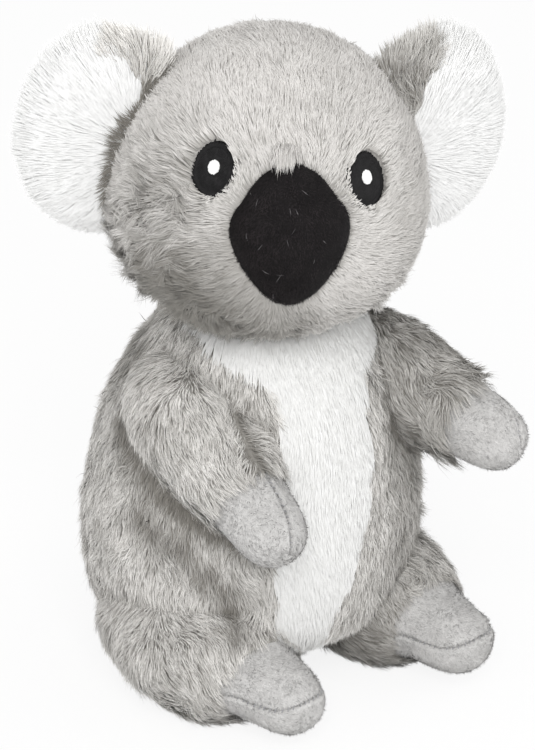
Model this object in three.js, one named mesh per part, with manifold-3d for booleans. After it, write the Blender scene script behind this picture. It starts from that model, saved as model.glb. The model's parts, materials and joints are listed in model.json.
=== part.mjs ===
// A plush koala that sits with its head turned, one arm hanging and one arm held out.
// Millimetres, +Z up. The koala faces -Y, and the origin is the middle of the face it sits on.
// Each stuffed part is a core of stuffing inside a sewn skin, and turns at its sewn joint.
import * as THREE from "three";
import { mergeVertices } from "three/addons/utils/BufferGeometryUtils.js";
import Module from "manifold-3d";

// Fabrics and fits
const pileFabric = 3.6; // long pile with its backing
const velourFabric = 1.6; // short velour of the nose, hands and feet
const sewnGap = 0.3; // between pieces that are sewn or laid against each other
const turningGap = 0.5; // between a moving part and the larger part that it turns on
const pressedDepth = 0.5; // how far the weight flattens a soft form on the floor
const cutReach = 320; // length of the blocks that trim the forms

// Body, as sizes of its stuffing
const bodyWidth = 94;
const bodyDepth = 86;
const bodyHeight = 117;
const bellyForward = 6; // how far the middle of the body leans forward of the seat
const neckForward = 12;
const neckOpening = 34; // diameter of the skin's opening under the head
const bodySquareShare = 2.9; // power of the rounding: 2 is an oval, more is squarer
const bodyWidthShares = [[0, 1], [0.12, 1.07], [0.3, 1.04], [0.5, 1], [0.7, 0.9], [0.88, 0.78], [1, 0.76]];
const bodyDepthShares = [[0, 1.02], [0.12, 1.07], [0.3, 1.04], [0.5, 1], [0.7, 0.91], [0.88, 0.79], [1, 0.76]];

// White belly panel, as half widths up the front
const bellyPastNeck = 0.6; // above the end of the body's spine
const bellyBottom = 20;
const bellyHalfWidth = 18;
const bellyBottomAside = 8; // to its right, as the body twists
const bellyTopAside = 3; // to its left
const bellyShares = [[0, 0.25], [0.1, 0.6], [0.3, 0.9], [0.5, 1], [0.75, 0.92], [0.83, 1.1], [0.9, 1.4], [1, 1.5]];

// Head, as sizes of its stuffing
const headWidth = 81;
const headDepth = 80;
const headHeight = 81;
const headForward = 17;
const headAside = 1.5; // to its right, as it leans
const headAboveNeck = 36.6; // from the end of the body's spine to the middle of the head
const headSquareShare = 2.15;
const headWidthShares = [[0, 0.9], [0.2, 1.04], [0.42, 1.04], [0.6, 0.99], [0.8, 0.96], [1, 0.95]];
const headDepthShares = [[0, 0.94], [0.2, 1.02], [0.42, 1.02], [0.6, 0.99], [0.8, 0.98], [1, 0.97]];
const headTurnAtRest = -25.5; // degrees, towards its right shoulder
const headTiltAtRest = 5; // degrees, towards its left shoulder

// Nose, a padded dome that is taller than wide
const noseWidth = 33;
const noseHeight = 41;
const noseDepth = 22;
const noseSquareShare = 2.3;
const noseShares = [[0, 0.78], [0.25, 0.92], [0.5, 1.03], [0.75, 1.04], [1, 0.9]];

// Eyes, sewn ovals with a white glint
const eyeWidth = 12.6;
const eyeHeight = 14.8;
const eyeThread = 1;
const glintWidth = 3.4;
const glintHeight = 4;
const glintThread = 0.6;
const eyeRise = 16; // above the middle of the head
const eyeSlant = 32; // degrees round the head from straight ahead

// Ears, as sizes of their padding
const earTall = 52;
const earReach = 45; // from the inner end to the rim
const earThick = 9;
const earInside = 18; // how much of the reach lies inward of the fold
const rightEarRise = 9.5; // above the middle of the head
const leftEarRise = 13;
const earBack = 6; // behind the middle of the head
const earOut = 41; // fold line from the middle of the head
const earSquareShare = 2.1;
const earShares = [[0, 0.9], [0.5, 1], [1, 1]];
const earLean = 10; // degrees that the ear leans up from straight out
const rightEarSweep = 8; // degrees that the ear is swept back
const leftEarSweep = 26; // degrees that the ear is swept back

// Arms, as sizes of their stuffing, with the shoulder as pivot
const armThick = 29;
const armDeep = 27;
const armRoot = 12; // how much lies inward of the pivot
const armLength = 58; // from the pivot to the finger end
const armWrist = 39; // from the pivot to the end of the sleeve
const armSquareShare = 3.1;
const armShares = [[0, 1], [0.3, 1], [0.52, 0.9], [0.7, 0.73], [0.85, 0.72], [1, 0.77]];
const shoulderBelowNeck = 27;
const shoulderInset = 16; // from the side of the body at its middle
const shoulderForward = 14;
const rightArmAimShares = [0.06, -0.87, -0.46];
const leftArmAimShares = [0.37, -0.88, -0.28];
const shoulderOutShare = 0.88; // lie of the axis that the arm swings on
const shoulderBackShare = 0.15;
const shoulderUpShare = 0.45;

// Legs, as sizes of their stuffing, with the hip as pivot
const legThick = 42;
const legDeep = 35;
const legRoot = 20;
const legLength = 56;
const legAnkle = 36;
const legSquareShare = 3.1;
const legShares = [[0, 1], [0.3, 1.03], [0.5, 1.02], [0.62, 0.88], [0.73, 0.6], [0.85, 0.56], [1, 0.6]];
const hipHeight = 20;
const hipInset = 17; // from the side of the body at its middle
const hipForward = 12;
const rightLegAimShares = [0.16, -0.98, -0.15];
const leftLegAimShares = [0.17, -0.98, -0.12];

// Joint ranges in degrees from rest: the head to its left, arms and feet up, ears forward
const neckRange = [-20, 60];
const shoulderRange = [-5, 35];
const hipRange = [0, 15];
const earRange = [-12, 12];

// Fineness of the forms
const largeSideCount = 24;
const largeRowCount = 12;
const smallSideCount = 14;
const smallRowCount = 9;
const ovalSideCount = 18;
const swungPlaceCount = 3;

const wasm = await Module();
wasm.setup();

const finishes = {
  greyPile: new THREE.MeshStandardMaterial({ color: 0xafaca5, roughness: 0.95, metalness: 0 }),
  whitePile: new THREE.MeshStandardMaterial({ color: 0xe8e8e2, roughness: 0.95, metalness: 0 }),
  greyVelour: new THREE.MeshStandardMaterial({ color: 0xb9babe, roughness: 0.9, metalness: 0 }),
  blackVelour: new THREE.MeshStandardMaterial({ color: 0x1c1b1b, roughness: 0.9, metalness: 0 }),
  blackThread: new THREE.MeshStandardMaterial({ color: 0x141414, roughness: 0.6, metalness: 0 }),
  whiteThread: new THREE.MeshStandardMaterial({ color: 0xf4f4f2, roughness: 0.6, metalness: 0 }),
  stuffing: new THREE.MeshStandardMaterial({ color: 0xf2f0ea, roughness: 1, metalness: 0 }),
};

// Solids from closed geometries and back

function toSolid(geometry) {
  const bare = geometry.clone();
  bare.deleteAttribute("normal");
  bare.deleteAttribute("uv");
  const merged = mergeVertices(bare);
  const vertProperties = new Float32Array(merged.attributes.position.array);
  const triVerts = new Uint32Array(merged.index.array);
  return new wasm.Manifold(new wasm.Mesh({ numProp: 3, vertProperties, triVerts }));
}

function toMesh(name, solid, finish) {
  const { vertProperties, triVerts } = solid.getMesh();
  const geometry = new THREE.BufferGeometry();
  geometry.setAttribute("position", new THREE.BufferAttribute(vertProperties, 3));
  geometry.setIndex(new THREE.BufferAttribute(triVerts, 1));
  geometry.computeVertexNormals();
  const mesh = new THREE.Mesh(geometry, finish);
  mesh.name = name;
  return mesh;
}

// A smooth value through a table of [place, share] pairs
function smoothShares(table) {
  const places = table.map(([place]) => place);
  const shares = table.map(([, share]) => share);
  const curve = new THREE.CubicInterpolant(places, shares, 1);
  return (place) => curve.evaluate(place)[0];
}

// A stuffed form: oval sections along a spine, rounded off at both ends
function stuffedForm({ spine, width, depth, widthShares, depthShares, squareShare, sideways, around, steps }) {
  const path = new THREE.CatmullRomCurve3(spine);
  const widthAt = smoothShares(widthShares);
  const depthAt = smoothShares(depthShares ?? widthShares);
  const places = [];
  for (let i = 1; i < steps; i += 1) {
    places.push((1 - Math.cos((Math.PI * i) / steps)) / 2);
  }
  const points = [path.getPoint(0)];
  for (const place of places) {
    const middle = path.getPoint(place);
    const along = path.getTangent(place);
    const front = new THREE.Vector3().crossVectors(along, sideways).normalize();
    const side = new THREE.Vector3().crossVectors(front, along);
    const round = Math.pow(1 - Math.pow(Math.abs(2 * place - 1), squareShare), 1 / squareShare);
    for (let k = 0; k < around; k += 1) {
      const angle = (2 * Math.PI * k) / around;
      const out = (Math.cos(angle) * round * width * widthAt(place)) / 2;
      const fore = (Math.sin(angle) * round * depth * depthAt(place)) / 2;
      points.push(middle.clone().addScaledVector(side, out).addScaledVector(front, fore));
    }
  }
  points.push(path.getPoint(1));
  const index = [];
  const last = points.length - 1;
  for (let k = 0; k < around; k += 1) {
    const next = (k + 1) % around;
    index.push(0, 1 + next, 1 + k);
    index.push(last, last - around + k, last - around + next);
    for (let row = 0; row < places.length - 1; row += 1) {
      const low = 1 + row * around;
      const high = low + around;
      index.push(low + k, low + next, high + k);
      index.push(low + next, high + next, high + k);
    }
  }
  const geometry = new THREE.BufferGeometry().setFromPoints(points);
  geometry.setIndex(index);
  geometry.computeVertexNormals();
  return geometry;
}

// The same form with its surface moved outward, or inward for a negative distance
function grown(form, distance) {
  const result = form.clone();
  const { position, normal } = result.attributes;
  for (let i = 0; i < position.count; i += 1) {
    const point = new THREE.Vector3().fromBufferAttribute(position, i);
    point.addScaledVector(new THREE.Vector3().fromBufferAttribute(normal, i), distance);
    position.setXYZ(i, point.x, point.y, point.z);
  }
  return result;
}

// A layer of fabric on a form: its inner face lies at from, its outer face at to
function layer(form, from, to) {
  return toSolid(grown(form, to)).subtract(toSolid(grown(form, from)));
}

// A large block on one side of the plane through a point
function blockBeyond(point, towards) {
  const block = new THREE.BoxGeometry(cutReach, cutReach, cutReach);
  block.translate(0, 0, cutReach / 2);
  const facing = new THREE.Quaternion().setFromUnitVectors(new THREE.Vector3(0, 0, 1), towards);
  block.applyQuaternion(facing);
  block.translate(point.x, point.y, point.z);
  return toSolid(block);
}

// Frames and joints

function frameAt(parent, pivot, aim, sideways) {
  const along = aim.clone().normalize();
  const front = new THREE.Vector3().crossVectors(along, sideways).normalize();
  const side = new THREE.Vector3().crossVectors(front, along);
  const frame = new THREE.Group();
  frame.position.copy(pivot);
  frame.setRotationFromMatrix(new THREE.Matrix4().makeBasis(side, front, along));
  parent.add(frame);
  frame.updateWorldMatrix(true, false);
  return frame;
}

// The larger form as the moving frame meets it over the joint's range, in the moving frame
function sweptPast(form, pivot, axis, range, home, frame) {
  const toFrame = frame.matrixWorld.clone().invert().multiply(home.matrixWorld);
  const solids = [];
  for (let i = 0; i <= swungPlaceCount; i += 1) {
    const angle = THREE.MathUtils.degToRad(THREE.MathUtils.lerp(range[0], range[1], i / swungPlaceCount));
    const turn = new THREE.Matrix4().makeTranslation(pivot);
    turn.multiply(new THREE.Matrix4().makeRotationAxis(axis, -angle));
    turn.multiply(new THREE.Matrix4().makeTranslation(pivot.clone().negate()));
    const turned = form.clone().applyMatrix4(toFrame.clone().multiply(turn));
    solids.push(toSolid(turned));
  }
  return wasm.Manifold.union(solids);
}

const koala = new THREE.Group();
const acrossX = new THREE.Vector3(1, 0, 0);
const upZ = new THREE.Vector3(0, 0, 1);
const fabricIn = sewnGap;
const pileOut = sewnGap + pileFabric;
const velourOut = sewnGap + velourFabric;

// Body

const bodyBase = pileOut - pressedDepth;
const bodyCore = stuffedForm({
  spine: [
    new THREE.Vector3(0, 0, bodyBase),
    new THREE.Vector3(0, -bellyForward, bodyBase + bodyHeight / 2),
    new THREE.Vector3(0, -neckForward, bodyBase + bodyHeight),
  ],
  width: bodyWidth,
  depth: bodyDepth,
  widthShares: bodyWidthShares,
  depthShares: bodyDepthShares,
  squareShare: bodySquareShare,
  sideways: acrossX,
  around: largeSideCount,
  steps: largeRowCount,
});
const bodyClear = grown(bodyCore, pileOut + turningGap);
const belowFloor = blockBeyond(new THREE.Vector3(0, 0, 0), new THREE.Vector3(0, 0, -1));

// The belly panel's outline in the front view, drawn smaller by inset, as a block through the front
function bellyBlock(inset) {
  const halfAt = smoothShares(bellyShares);
  const height = bodyBase + bodyHeight + bellyPastNeck - bellyBottom;
  const rightSide = [];
  const leftSide = [];
  for (let i = 0; i <= largeRowCount; i += 1) {
    const place = i / largeRowCount;
    const rise = bellyBottom + inset + place * (height - 2 * inset);
    const half = bellyHalfWidth * halfAt(place) - inset;
    const middle = THREE.MathUtils.lerp(-bellyBottomAside, bellyTopAside, place);
    rightSide.push(new THREE.Vector2(middle + half, rise));
    leftSide.unshift(new THREE.Vector2(middle - half, rise));
  }
  const outline = new THREE.Shape([...rightSide, ...leftSide]);
  const block = new THREE.ExtrudeGeometry(outline, { depth: cutReach, bevelEnabled: false });
  block.rotateX(Math.PI / 2);
  return toSolid(block);
}

function makeBody() {
  const skin = layer(bodyCore, fabricIn, pileOut).subtract(belowFloor);
  const neckHole = new THREE.CylinderGeometry(neckOpening / 2, neckOpening / 2, bodyHeight, largeSideCount);
  neckHole.rotateX(Math.PI / 2);
  neckHole.translate(0, -neckForward, bodyBase + bodyHeight);
  const opened = skin.subtract(toSolid(neckHole));
  koala.add(toMesh("body_skin", opened.subtract(bellyBlock(0)), finishes.greyPile));
  koala.add(toMesh("belly_panel", opened.intersect(bellyBlock(sewnGap)), finishes.whitePile));
  koala.add(toMesh("body_stuffing", toSolid(bodyCore), finishes.stuffing));
}

// Head, in its own frame: +X its left, -Y its face, origin the middle of the head

const head = new THREE.Group();
head.position.set(-headAside, -headForward, bodyBase + bodyHeight + headAboveNeck);
head.rotation.set(
  0,
  THREE.MathUtils.degToRad(headTiltAtRest),
  THREE.MathUtils.degToRad(headTurnAtRest),
  "ZXY",
);
koala.add(head);
head.updateWorldMatrix(true, false);
const headCore = stuffedForm({
  spine: [new THREE.Vector3(0, 0, -headHeight / 2), new THREE.Vector3(0, 0, headHeight / 2)],
  width: headWidth,
  depth: headDepth,
  widthShares: headWidthShares,
  depthShares: headDepthShares,
  squareShare: headSquareShare,
  sideways: acrossX,
  around: largeSideCount,
  steps: largeRowCount,
});
const neckPivot = new THREE.Vector3(0, -neckForward, bodyBase + bodyHeight);

function makeHead() {
  const neck = sweptPast(bodyClear, neckPivot, upZ, neckRange, koala, head);
  head.add(toMesh("head_skin", layer(headCore, fabricIn, pileOut).subtract(neck), finishes.greyPile));
  head.add(toMesh("head_stuffing", toSolid(headCore).subtract(neck), finishes.stuffing));
}

function makeNose() {
  const noseForm = stuffedForm({
    spine: [
      new THREE.Vector3(0, -headDepth / 2, -noseHeight / 2),
      new THREE.Vector3(0, -headDepth / 2, noseHeight / 2),
    ],
    width: noseWidth,
    depth: noseDepth,
    widthShares: noseShares,
    squareShare: noseSquareShare,
    sideways: acrossX,
    around: smallSideCount,
    steps: smallRowCount,
  });
  const face = toSolid(grown(headCore, pileOut + sewnGap));
  const cover = layer(noseForm, -velourFabric, 0).subtract(face);
  const padding = toSolid(grown(noseForm, -velourFabric - sewnGap)).subtract(face);
  head.add(toMesh("nose_cover", cover, finishes.blackVelour));
  head.add(toMesh("nose_padding", padding, finishes.stuffing));
}

// An oval of thread that follows the face, between two heights above the head's skin
function faceOval(side, width, height, from, to) {
  const oval = new THREE.CylinderGeometry(1, 1, cutReach, ovalSideCount);
  oval.scale(width / 2, 1, height / 2);
  oval.translate(0, -cutReach / 2, eyeRise);
  oval.rotateZ(THREE.MathUtils.degToRad(side * eyeSlant));
  return layer(headCore, pileOut + from, pileOut + to).intersect(toSolid(oval));
}

function makeEye(name, side) {
  const eyeTop = sewnGap + eyeThread;
  const eye = faceOval(side, eyeWidth, eyeHeight, sewnGap, eyeTop);
  const glint = faceOval(side, glintWidth, glintHeight, eyeTop + sewnGap, eyeTop + sewnGap + glintThread);
  head.add(toMesh(`eye_${name}`, eye, finishes.blackThread));
  head.add(toMesh(`eye_glint_${name}`, glint, finishes.whiteThread));
}

// Ears, in frames at their fold: +Z outward along the ear, +X up along the fold

function makeEar(name, side, rise, sweptBack) {
  const lean = THREE.MathUtils.degToRad(earLean);
  const sweep = THREE.MathUtils.degToRad(sweptBack);
  const aim = new THREE.Vector3(side * Math.cos(lean) * Math.cos(sweep), Math.sin(sweep), Math.sin(lean));
  const pivot = new THREE.Vector3(side * earOut, earBack, rise);
  const ear = frameAt(head, pivot, aim, upZ);
  const earForm = stuffedForm({
    spine: [new THREE.Vector3(0, 0, -earInside), new THREE.Vector3(0, 0, earReach - earInside)],
    width: earTall,
    depth: earThick,
    widthShares: earShares,
    squareShare: earSquareShare,
    sideways: acrossX,
    around: smallSideCount,
    steps: smallRowCount,
  });
  const headClear = grown(headCore, pileOut + turningGap);
  const foldAxis = upZ.clone().multiplyScalar(-side);
  const cheek = sweptPast(headClear, pivot, foldAxis, earRange, head, ear);
  const fabric = layer(earForm, fabricIn, pileOut).subtract(cheek);
  const forward = new THREE.Vector3(0, side, 0);
  const frontHalf = blockBeyond(forward.clone().multiplyScalar(sewnGap / 2), forward);
  const backHalf = blockBeyond(forward.clone().multiplyScalar(-sewnGap / 2), forward.clone().negate());
  ear.add(toMesh(`ear_front_${name}`, fabric.intersect(frontHalf), finishes.whitePile));
  ear.add(toMesh(`ear_back_${name}`, fabric.intersect(backHalf), finishes.greyPile));
  ear.add(toMesh(`ear_padding_${name}`, toSolid(earForm).subtract(cheek), finishes.stuffing));
}

// Limbs, in frames at their sewn joint: +Z runs to the hand or foot

function makeLimb({ pivot, aim, axis, range, sizes, sleeveName, stuffingName, panelNames }) {
  const limb = frameAt(koala, pivot, aim, acrossX);
  const limbForm = stuffedForm({
    spine: [new THREE.Vector3(0, 0, -sizes.root), new THREE.Vector3(0, 0, sizes.length)],
    width: sizes.thick,
    depth: sizes.deep,
    widthShares: sizes.shares,
    squareShare: sizes.squareShare,
    sideways: acrossX,
    around: smallSideCount,
    steps: smallRowCount,
  });
  const torso = sweptPast(bodyClear, pivot, axis, range, koala, limb);
  const floor = blockBeyond(
    limb.worldToLocal(new THREE.Vector3(0, 0, 0)),
    new THREE.Vector3(0, 0, -1).transformDirection(limb.matrixWorld.clone().invert()),
  );
  const sleeveEnd = blockBeyond(new THREE.Vector3(0, 0, sizes.cuff), upZ);
  const panelStart = blockBeyond(new THREE.Vector3(0, 0, sizes.cuff + sewnGap), upZ);
  const sleeve = layer(limbForm, fabricIn, pileOut).subtract(torso).subtract(sleeveEnd).subtract(floor);
  limb.add(toMesh(sleeveName, sleeve, finishes.greyPile));
  limb.add(toMesh(stuffingName, toSolid(limbForm).subtract(torso), finishes.stuffing));
  const panels = layer(limbForm, fabricIn, velourOut).intersect(panelStart).subtract(torso).subtract(floor);
  const seam = sizes.seamTowards.clone().normalize();
  const firstHalf = blockBeyond(seam.clone().multiplyScalar(sewnGap / 2), seam);
  const secondHalf = blockBeyond(seam.clone().multiplyScalar(-sewnGap / 2), seam.clone().negate());
  limb.add(toMesh(panelNames[0], panels.intersect(firstHalf), finishes.greyVelour));
  limb.add(toMesh(panelNames[1], panels.intersect(secondHalf), finishes.greyVelour));
}

function makeArm(name, side, aimShares) {
  const shoulderOut = bodyWidth / 2 - shoulderInset;
  makeLimb({
    pivot: new THREE.Vector3(side * shoulderOut, -shoulderForward, bodyBase + bodyHeight - shoulderBelowNeck),
    aim: new THREE.Vector3(...aimShares),
    axis: new THREE.Vector3(-shoulderOutShare, side * shoulderBackShare, -side * shoulderUpShare).normalize(),
    range: shoulderRange,
    sizes: {
      root: armRoot,
      length: armLength,
      cuff: armWrist,
      thick: armThick,
      deep: armDeep,
      shares: armShares,
      squareShare: armSquareShare,
      seamTowards: new THREE.Vector3(side, 0, 0),
    },
    sleeveName: `arm_sleeve_${name}`,
    stuffingName: `arm_stuffing_${name}`,
    panelNames: [`hand_back_${name}`, `hand_palm_${name}`],
  });
}

function makeLeg(name, side, aimShares) {
  makeLimb({
    pivot: new THREE.Vector3(side * (bodyWidth / 2 - hipInset), -hipForward, hipHeight),
    aim: new THREE.Vector3(...aimShares),
    axis: acrossX.clone().negate(),
    range: hipRange,
    sizes: {
      root: legRoot,
      length: legLength,
      cuff: legAnkle,
      thick: legThick,
      deep: legDeep,
      shares: legShares,
      squareShare: legSquareShare,
      seamTowards: new THREE.Vector3(0, 1, 0),
    },
    sleeveName: `leg_sleeve_${name}`,
    stuffingName: `leg_stuffing_${name}`,
    panelNames: [`foot_upper_${name}`, `foot_sole_${name}`],
  });
}

makeBody();
makeHead();
makeNose();
for (const [name, side] of [["left", 1], ["right", -1]]) {
  makeEye(name, side);
  makeEar(name, side, side > 0 ? leftEarRise : rightEarRise, side > 0 ? leftEarSweep : rightEarSweep);
  makeArm(name, side, side > 0 ? leftArmAimShares : rightArmAimShares);
  makeLeg(name, side, side > 0 ? leftLegAimShares : rightLegAimShares);
}

export default koala;
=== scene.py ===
"""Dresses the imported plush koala: skins of combed hairs, short velour, sewn seams and stitched eyes."""

import json
import math

import bpy
import numpy as np
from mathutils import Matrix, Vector
from mathutils.kdtree import KDTree


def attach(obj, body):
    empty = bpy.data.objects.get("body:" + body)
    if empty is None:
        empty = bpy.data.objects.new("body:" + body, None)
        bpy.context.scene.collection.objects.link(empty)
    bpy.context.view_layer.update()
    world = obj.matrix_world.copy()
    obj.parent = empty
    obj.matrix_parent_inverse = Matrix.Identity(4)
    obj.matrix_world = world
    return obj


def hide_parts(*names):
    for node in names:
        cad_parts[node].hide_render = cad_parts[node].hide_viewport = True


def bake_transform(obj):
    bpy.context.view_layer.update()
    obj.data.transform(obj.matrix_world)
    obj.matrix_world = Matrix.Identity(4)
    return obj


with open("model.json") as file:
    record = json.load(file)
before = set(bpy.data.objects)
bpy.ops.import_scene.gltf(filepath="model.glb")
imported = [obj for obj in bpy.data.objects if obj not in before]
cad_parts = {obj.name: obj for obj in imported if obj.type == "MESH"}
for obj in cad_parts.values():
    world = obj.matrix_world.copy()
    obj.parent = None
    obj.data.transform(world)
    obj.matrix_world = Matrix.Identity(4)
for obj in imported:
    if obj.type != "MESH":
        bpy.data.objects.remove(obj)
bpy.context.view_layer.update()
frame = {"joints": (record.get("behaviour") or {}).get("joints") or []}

# Units and fineness
MM = 0.001  # the sizes below are millimetres
FLOOR_CLEARANCE = 0.15
FAR = 99.0  # farther than any place on the koala
PLACE_MARGIN = 1e-4  # a form's ends are left out by this share of its length
PLACE_STEP = 1e-3  # along and round a form, for the way that it faces
DOWN = np.array([0, 0, -1.0])

# Fabrics
PILE_FABRIC = 3.6
VELOUR_FABRIC = 1.6
SEWN_GAP = 0.3
VELOUR_PRESSED = 0.3
PILE_OUT = SEWN_GAP + PILE_FABRIC
BACKING_OUT = 2.5  # the cloth that the pile grows from
HEAD_BACKING_OUT = BACKING_OUT + 0.5
LIMB_BACKING_OUT = BACKING_OUT - 0.4
EAR_BACKING_OUT = BACKING_OUT - 0.7
UNDER_WHITE_OUT = 3.5  # the cloth under the thick white pile, which shows none of its depth
EAR_UNDER_WHITE_OUT = 2.8
VELOUR_OUT = SEWN_GAP + VELOUR_FABRIC - VELOUR_PRESSED
LUMP_SIZE = 16  # of the uneven stuffing under a skin
LUMPS = 0.5
VELOUR_LUMP_SIZE = 11
VELOUR_LUMPS = 0.35
THIN_OUT = 0.2  # a sleeve's cloth lies this close to the stuffing under the velour
THIN_RUN = 3

# Hairs: where one has its sections, how it bends and how it varies
HAIR_PLACES = (0.0, 0.55, 1.0)  # shares of a hair's length at which it has a section
HAIR_WIDTHS = (1.0, 0.85)  # shares of a hair's width at those places, before its pointed end
LENGTH_SPREAD = 0.16
LIFT_SPREAD = 0.3
SWIRL_SIZE = 8
FINE_SWIRL_SIZE = 3
FINE_SWIRL = 0.8
WANDER_FLATTENED = 0.6
TIP_RISE = 0.12  # the least that a tip points away from the cloth
MIDDLE_LIFT = 2.2
MIDDLE_WAY = 0.6
GATHER_LEAST = 0.4
TIP_GATHER = 0.7
MIDDLE_GATHER = 0.3
OWN_SHADE = 0.8
TUFT_SHADE = 0.6
SHADE_ENDS = (0.02, 0.98)
DARK_HAIR = 0.45  # how much darker the flecks are than the hairs round them
BAKE_HALF_WIDTH = 0.0015  # of the map on which a hair is laid out
BAKE_MARGIN = 0.02

# Nap: short single hairs
NAP_PLACES = (0.3, 0.3, 1.0)
NAP_WANDER = 0.5
NAP_LEAST = 0.7
NAP_MORE = 0.6
NAP_RISE = 0.1
NAP_SHADE_SPREAD = 0.14

# Hairs to a square millimetre
PILE_DENSITY = 5.2
HEAD_DENSITY = 5.6
VELOUR_DENSITY = 8
NOSE_DENSITY = 14

# Looks of the kinds of pile. Lengths and widths are millimetres, tuft is hairs to a tuft, the rest are shares
GREY_LOOK = dict(width=0.24, wild=0.16, tuft=10, spread=0.09, relief=0.3, flecks=0.12)
BODY_LOOK = dict(GREY_LOOK, length=5.2, lift=0.27, swirl=0.5, gather=0.4)
BELLY_LOOK = dict(length=4.8, lift=0.06, width=0.46, wild=0.04, swirl=0.15, tuft=14)
BELLY_LOOK.update(gather=0.05, shade=0.12, spread=0.2, relief=0.02)
HEAD_LOOK = dict(width=0.25, wild=0.16, tuft=18, relief=0.15)
NOSE_TUFT_LOOK = dict(length=6.6, lift=0.55, width=0.22, wild=0.14, swirl=0.1, tuft=12)
NOSE_TUFT_LOOK.update(gather=0.3, shade=0.82, spread=0.12, relief=0.3)
LINT_LOOK = dict(length=2.4, lift=0.15, width=0.1, wild=0.9, swirl=0.2, tuft=2)
LINT_LOOK.update(gather=0, shade=0.4, spread=0.3, relief=0.3)
EAR_FRONT_LOOK = dict(lift=0.08, width=0.42, tuft=12, wild=0.05, gather=0.06, relief=0.02)
EAR_FRONT_LOOK.update(shade=0.9, spread=0.1, swirl=0.25, flecks=0.0)
EAR_BACK_LOOK = dict(lift=0.24, width=0.25, tuft=12, wild=0.2, gather=0.4, relief=0.3)
EAR_BACK_LOOK.update(spread=0.1, swirl=0.5, flecks=0.1)

# Body
BODY_WIDTH = 94
BODY_DEPTH = 86
BODY_HEIGHT = 117
BODY_BASE = 3.4
NECK_FORWARD = 12
BODY_SQUARE = 2.9
BODY_WIDTH_SHARES = ((0, 1), (0.12, 1.07), (0.3, 1.04), (0.5, 1), (0.7, 0.9), (0.88, 0.78), (1, 0.76))
BODY_DEPTH_SHARES = ((0, 1.02), (0.12, 1.07), (0.3, 1.04), (0.5, 1), (0.7, 0.91), (0.88, 0.79), (1, 0.76))
BELLY_BOTTOM = 2
BELLY_BACK = -10  # the panel lies in front of this
BELLY_TO_RIGHT = (
    *((8, 16), (19, 17), (28, 18), (41, 19), (54, 20), (75, 18)),
    *((93, 15.5), (104, 16), (107.5, 18.5), (110, 22), (116, 24.5), (123, 21.5)),
)
BELLY_TO_LEFT = (
    *((8, 3), (19, -0.5), (28, -1.5), (43, 5), (54, 8), (75, 12)),
    *((93, 13.5), (102, 16.5), (108, 26), (123, 30)),
)
BELLY_EDGE_PATCH = 5
BELLY_EDGE_JITTER = 1.6
BELLY_PILE_RISE = 1.05
FRONT_LIFT = 8  # of the body's underside between the feet. It grows forward and fades upward and sideways
FRONT_LIFT_FORWARD = (-12, -38)
FRONT_LIFT_UP = (4, 30)
FRONT_LIFT_ASIDE = (22, 40)
NECK_BARE = 6  # depth in the head at which the body's pile ends

# Tones of the body's pile, from 0, dark, to 1, pale. A fade is an amount and the two ends between which
# it changes
BODY_TONE = 0.73
BODY_PATCHES = ((7, 0.11), (2.6, 0.11))  # sizes and strengths of its mottling
STREAK = (1, 1, 0.35)  # the finer patches run down
TONE_LIFT = 0.04
# Painted shade on the left front flank, the side away from the lamps
LEFT_FLANK_SHADE_FADE = (0.3, 14, 26)
# Painted shade on the body in the creases beside each limb
LIMB_SHADE_FADE = (0.4, 2, 9)
# Painted shadow on the body under its right arm
UNDER_ARM_SHADOW_FADE = (0.45, 4, 12)
UNDER_ARM_SHADOW_REACH = (1, 4, 15)
# Painted shadow on the body under the head
UNDER_HEAD_SHADOW_FADE = (0.2, 4, 13)
HOLLOW = ((-46, -20, 64), (-40.5, -30, 57.5), (-36, -36, 52), (-30, -39, 43), (-31, -42, 32))
HOLLOW_WIDTH = 5.0  # of the shadow along that line, from the koala's right arm to its foot
HOLLOW_STEPS = 25
HOLLOW_SHADE = 0.65
LIMB_HOLLOW_SHADE = 0.5

# Head
HEAD_WIDTH = 81
HEAD_DEPTH = 80
HEAD_HEIGHT = 81
HEAD_PLACE = (-1.5, -17, 157)
HEAD_SQUARE = 2.15
HEAD_WIDTH_SHARES = ((0, 0.9), (0.2, 1.04), (0.42, 1.04), (0.6, 0.99), (0.8, 0.96), (1, 0.95))
HEAD_DEPTH_SHARES = ((0, 0.94), (0.2, 1.02), (0.42, 1.02), (0.6, 0.99), (0.8, 0.98), (1, 0.97))
HEAD_TURN = -25.5  # degrees, towards its right shoulder
HEAD_TILT = 5  # degrees, towards its left shoulder
CHEEK_WAY = (-0.7, -0.66, -0.28)  # of the brushed, darker cheek from the middle of the head
JOWL_SHADOW_WAY = (-0.41, -0.745, -0.53)  # of the painted shadow under that cheek and beside the mouth, where it is darkest
TEMPLE_WAY = (-0.79, -0.1, 0.6)  # of the paler side of its forehead
CHEEK_FADE = (0.5, 0.97)  # as the cosine of the angle from that way
JOWL_SHADOW_FADE = (0.74, 0.95)
TEMPLE_FADE = (0.4, 0.9)
CHIN_FADE = (-14, -30)
MUZZLE_RISE = -2.0
FRONT_FADE = (-0.55, 0.25)
HEAD_LEFT_FADE = (0.15, 24, 38)
BODY_OVER_HEAD = 8  # depth in the body at which the head's pile ends

# Nose
NOSE_WIDTH = 33
NOSE_HEIGHT = 41
NOSE_DEPTH = 22
NOSE_SQUARE = 2.0
NOSE_ROLL = 5  # degrees, its tip towards the koala's left
NOSE_BARE = 0.8  # the head's pile ends this deep in the nose
NOSE_TUFT_PLACE = (-2.7, 21.4)  # across and up from the middle of the face
NOSE_TUFT_SPREAD = 1.3
NOSE_TUFT_TALL = 3.4
NOSE_TUFT_COUNT = 320
NOSE_LINT_COUNT = 40
NOSE_SHARES = (
    *((0, 0.74), (0.1, 0.8), (0.2, 0.84), (0.3, 0.9), (0.42, 0.96)),
    *((0.55, 1.01), (0.66, 1), (0.78, 0.9), (0.9, 0.88), (1, 0.86)),
)

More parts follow.
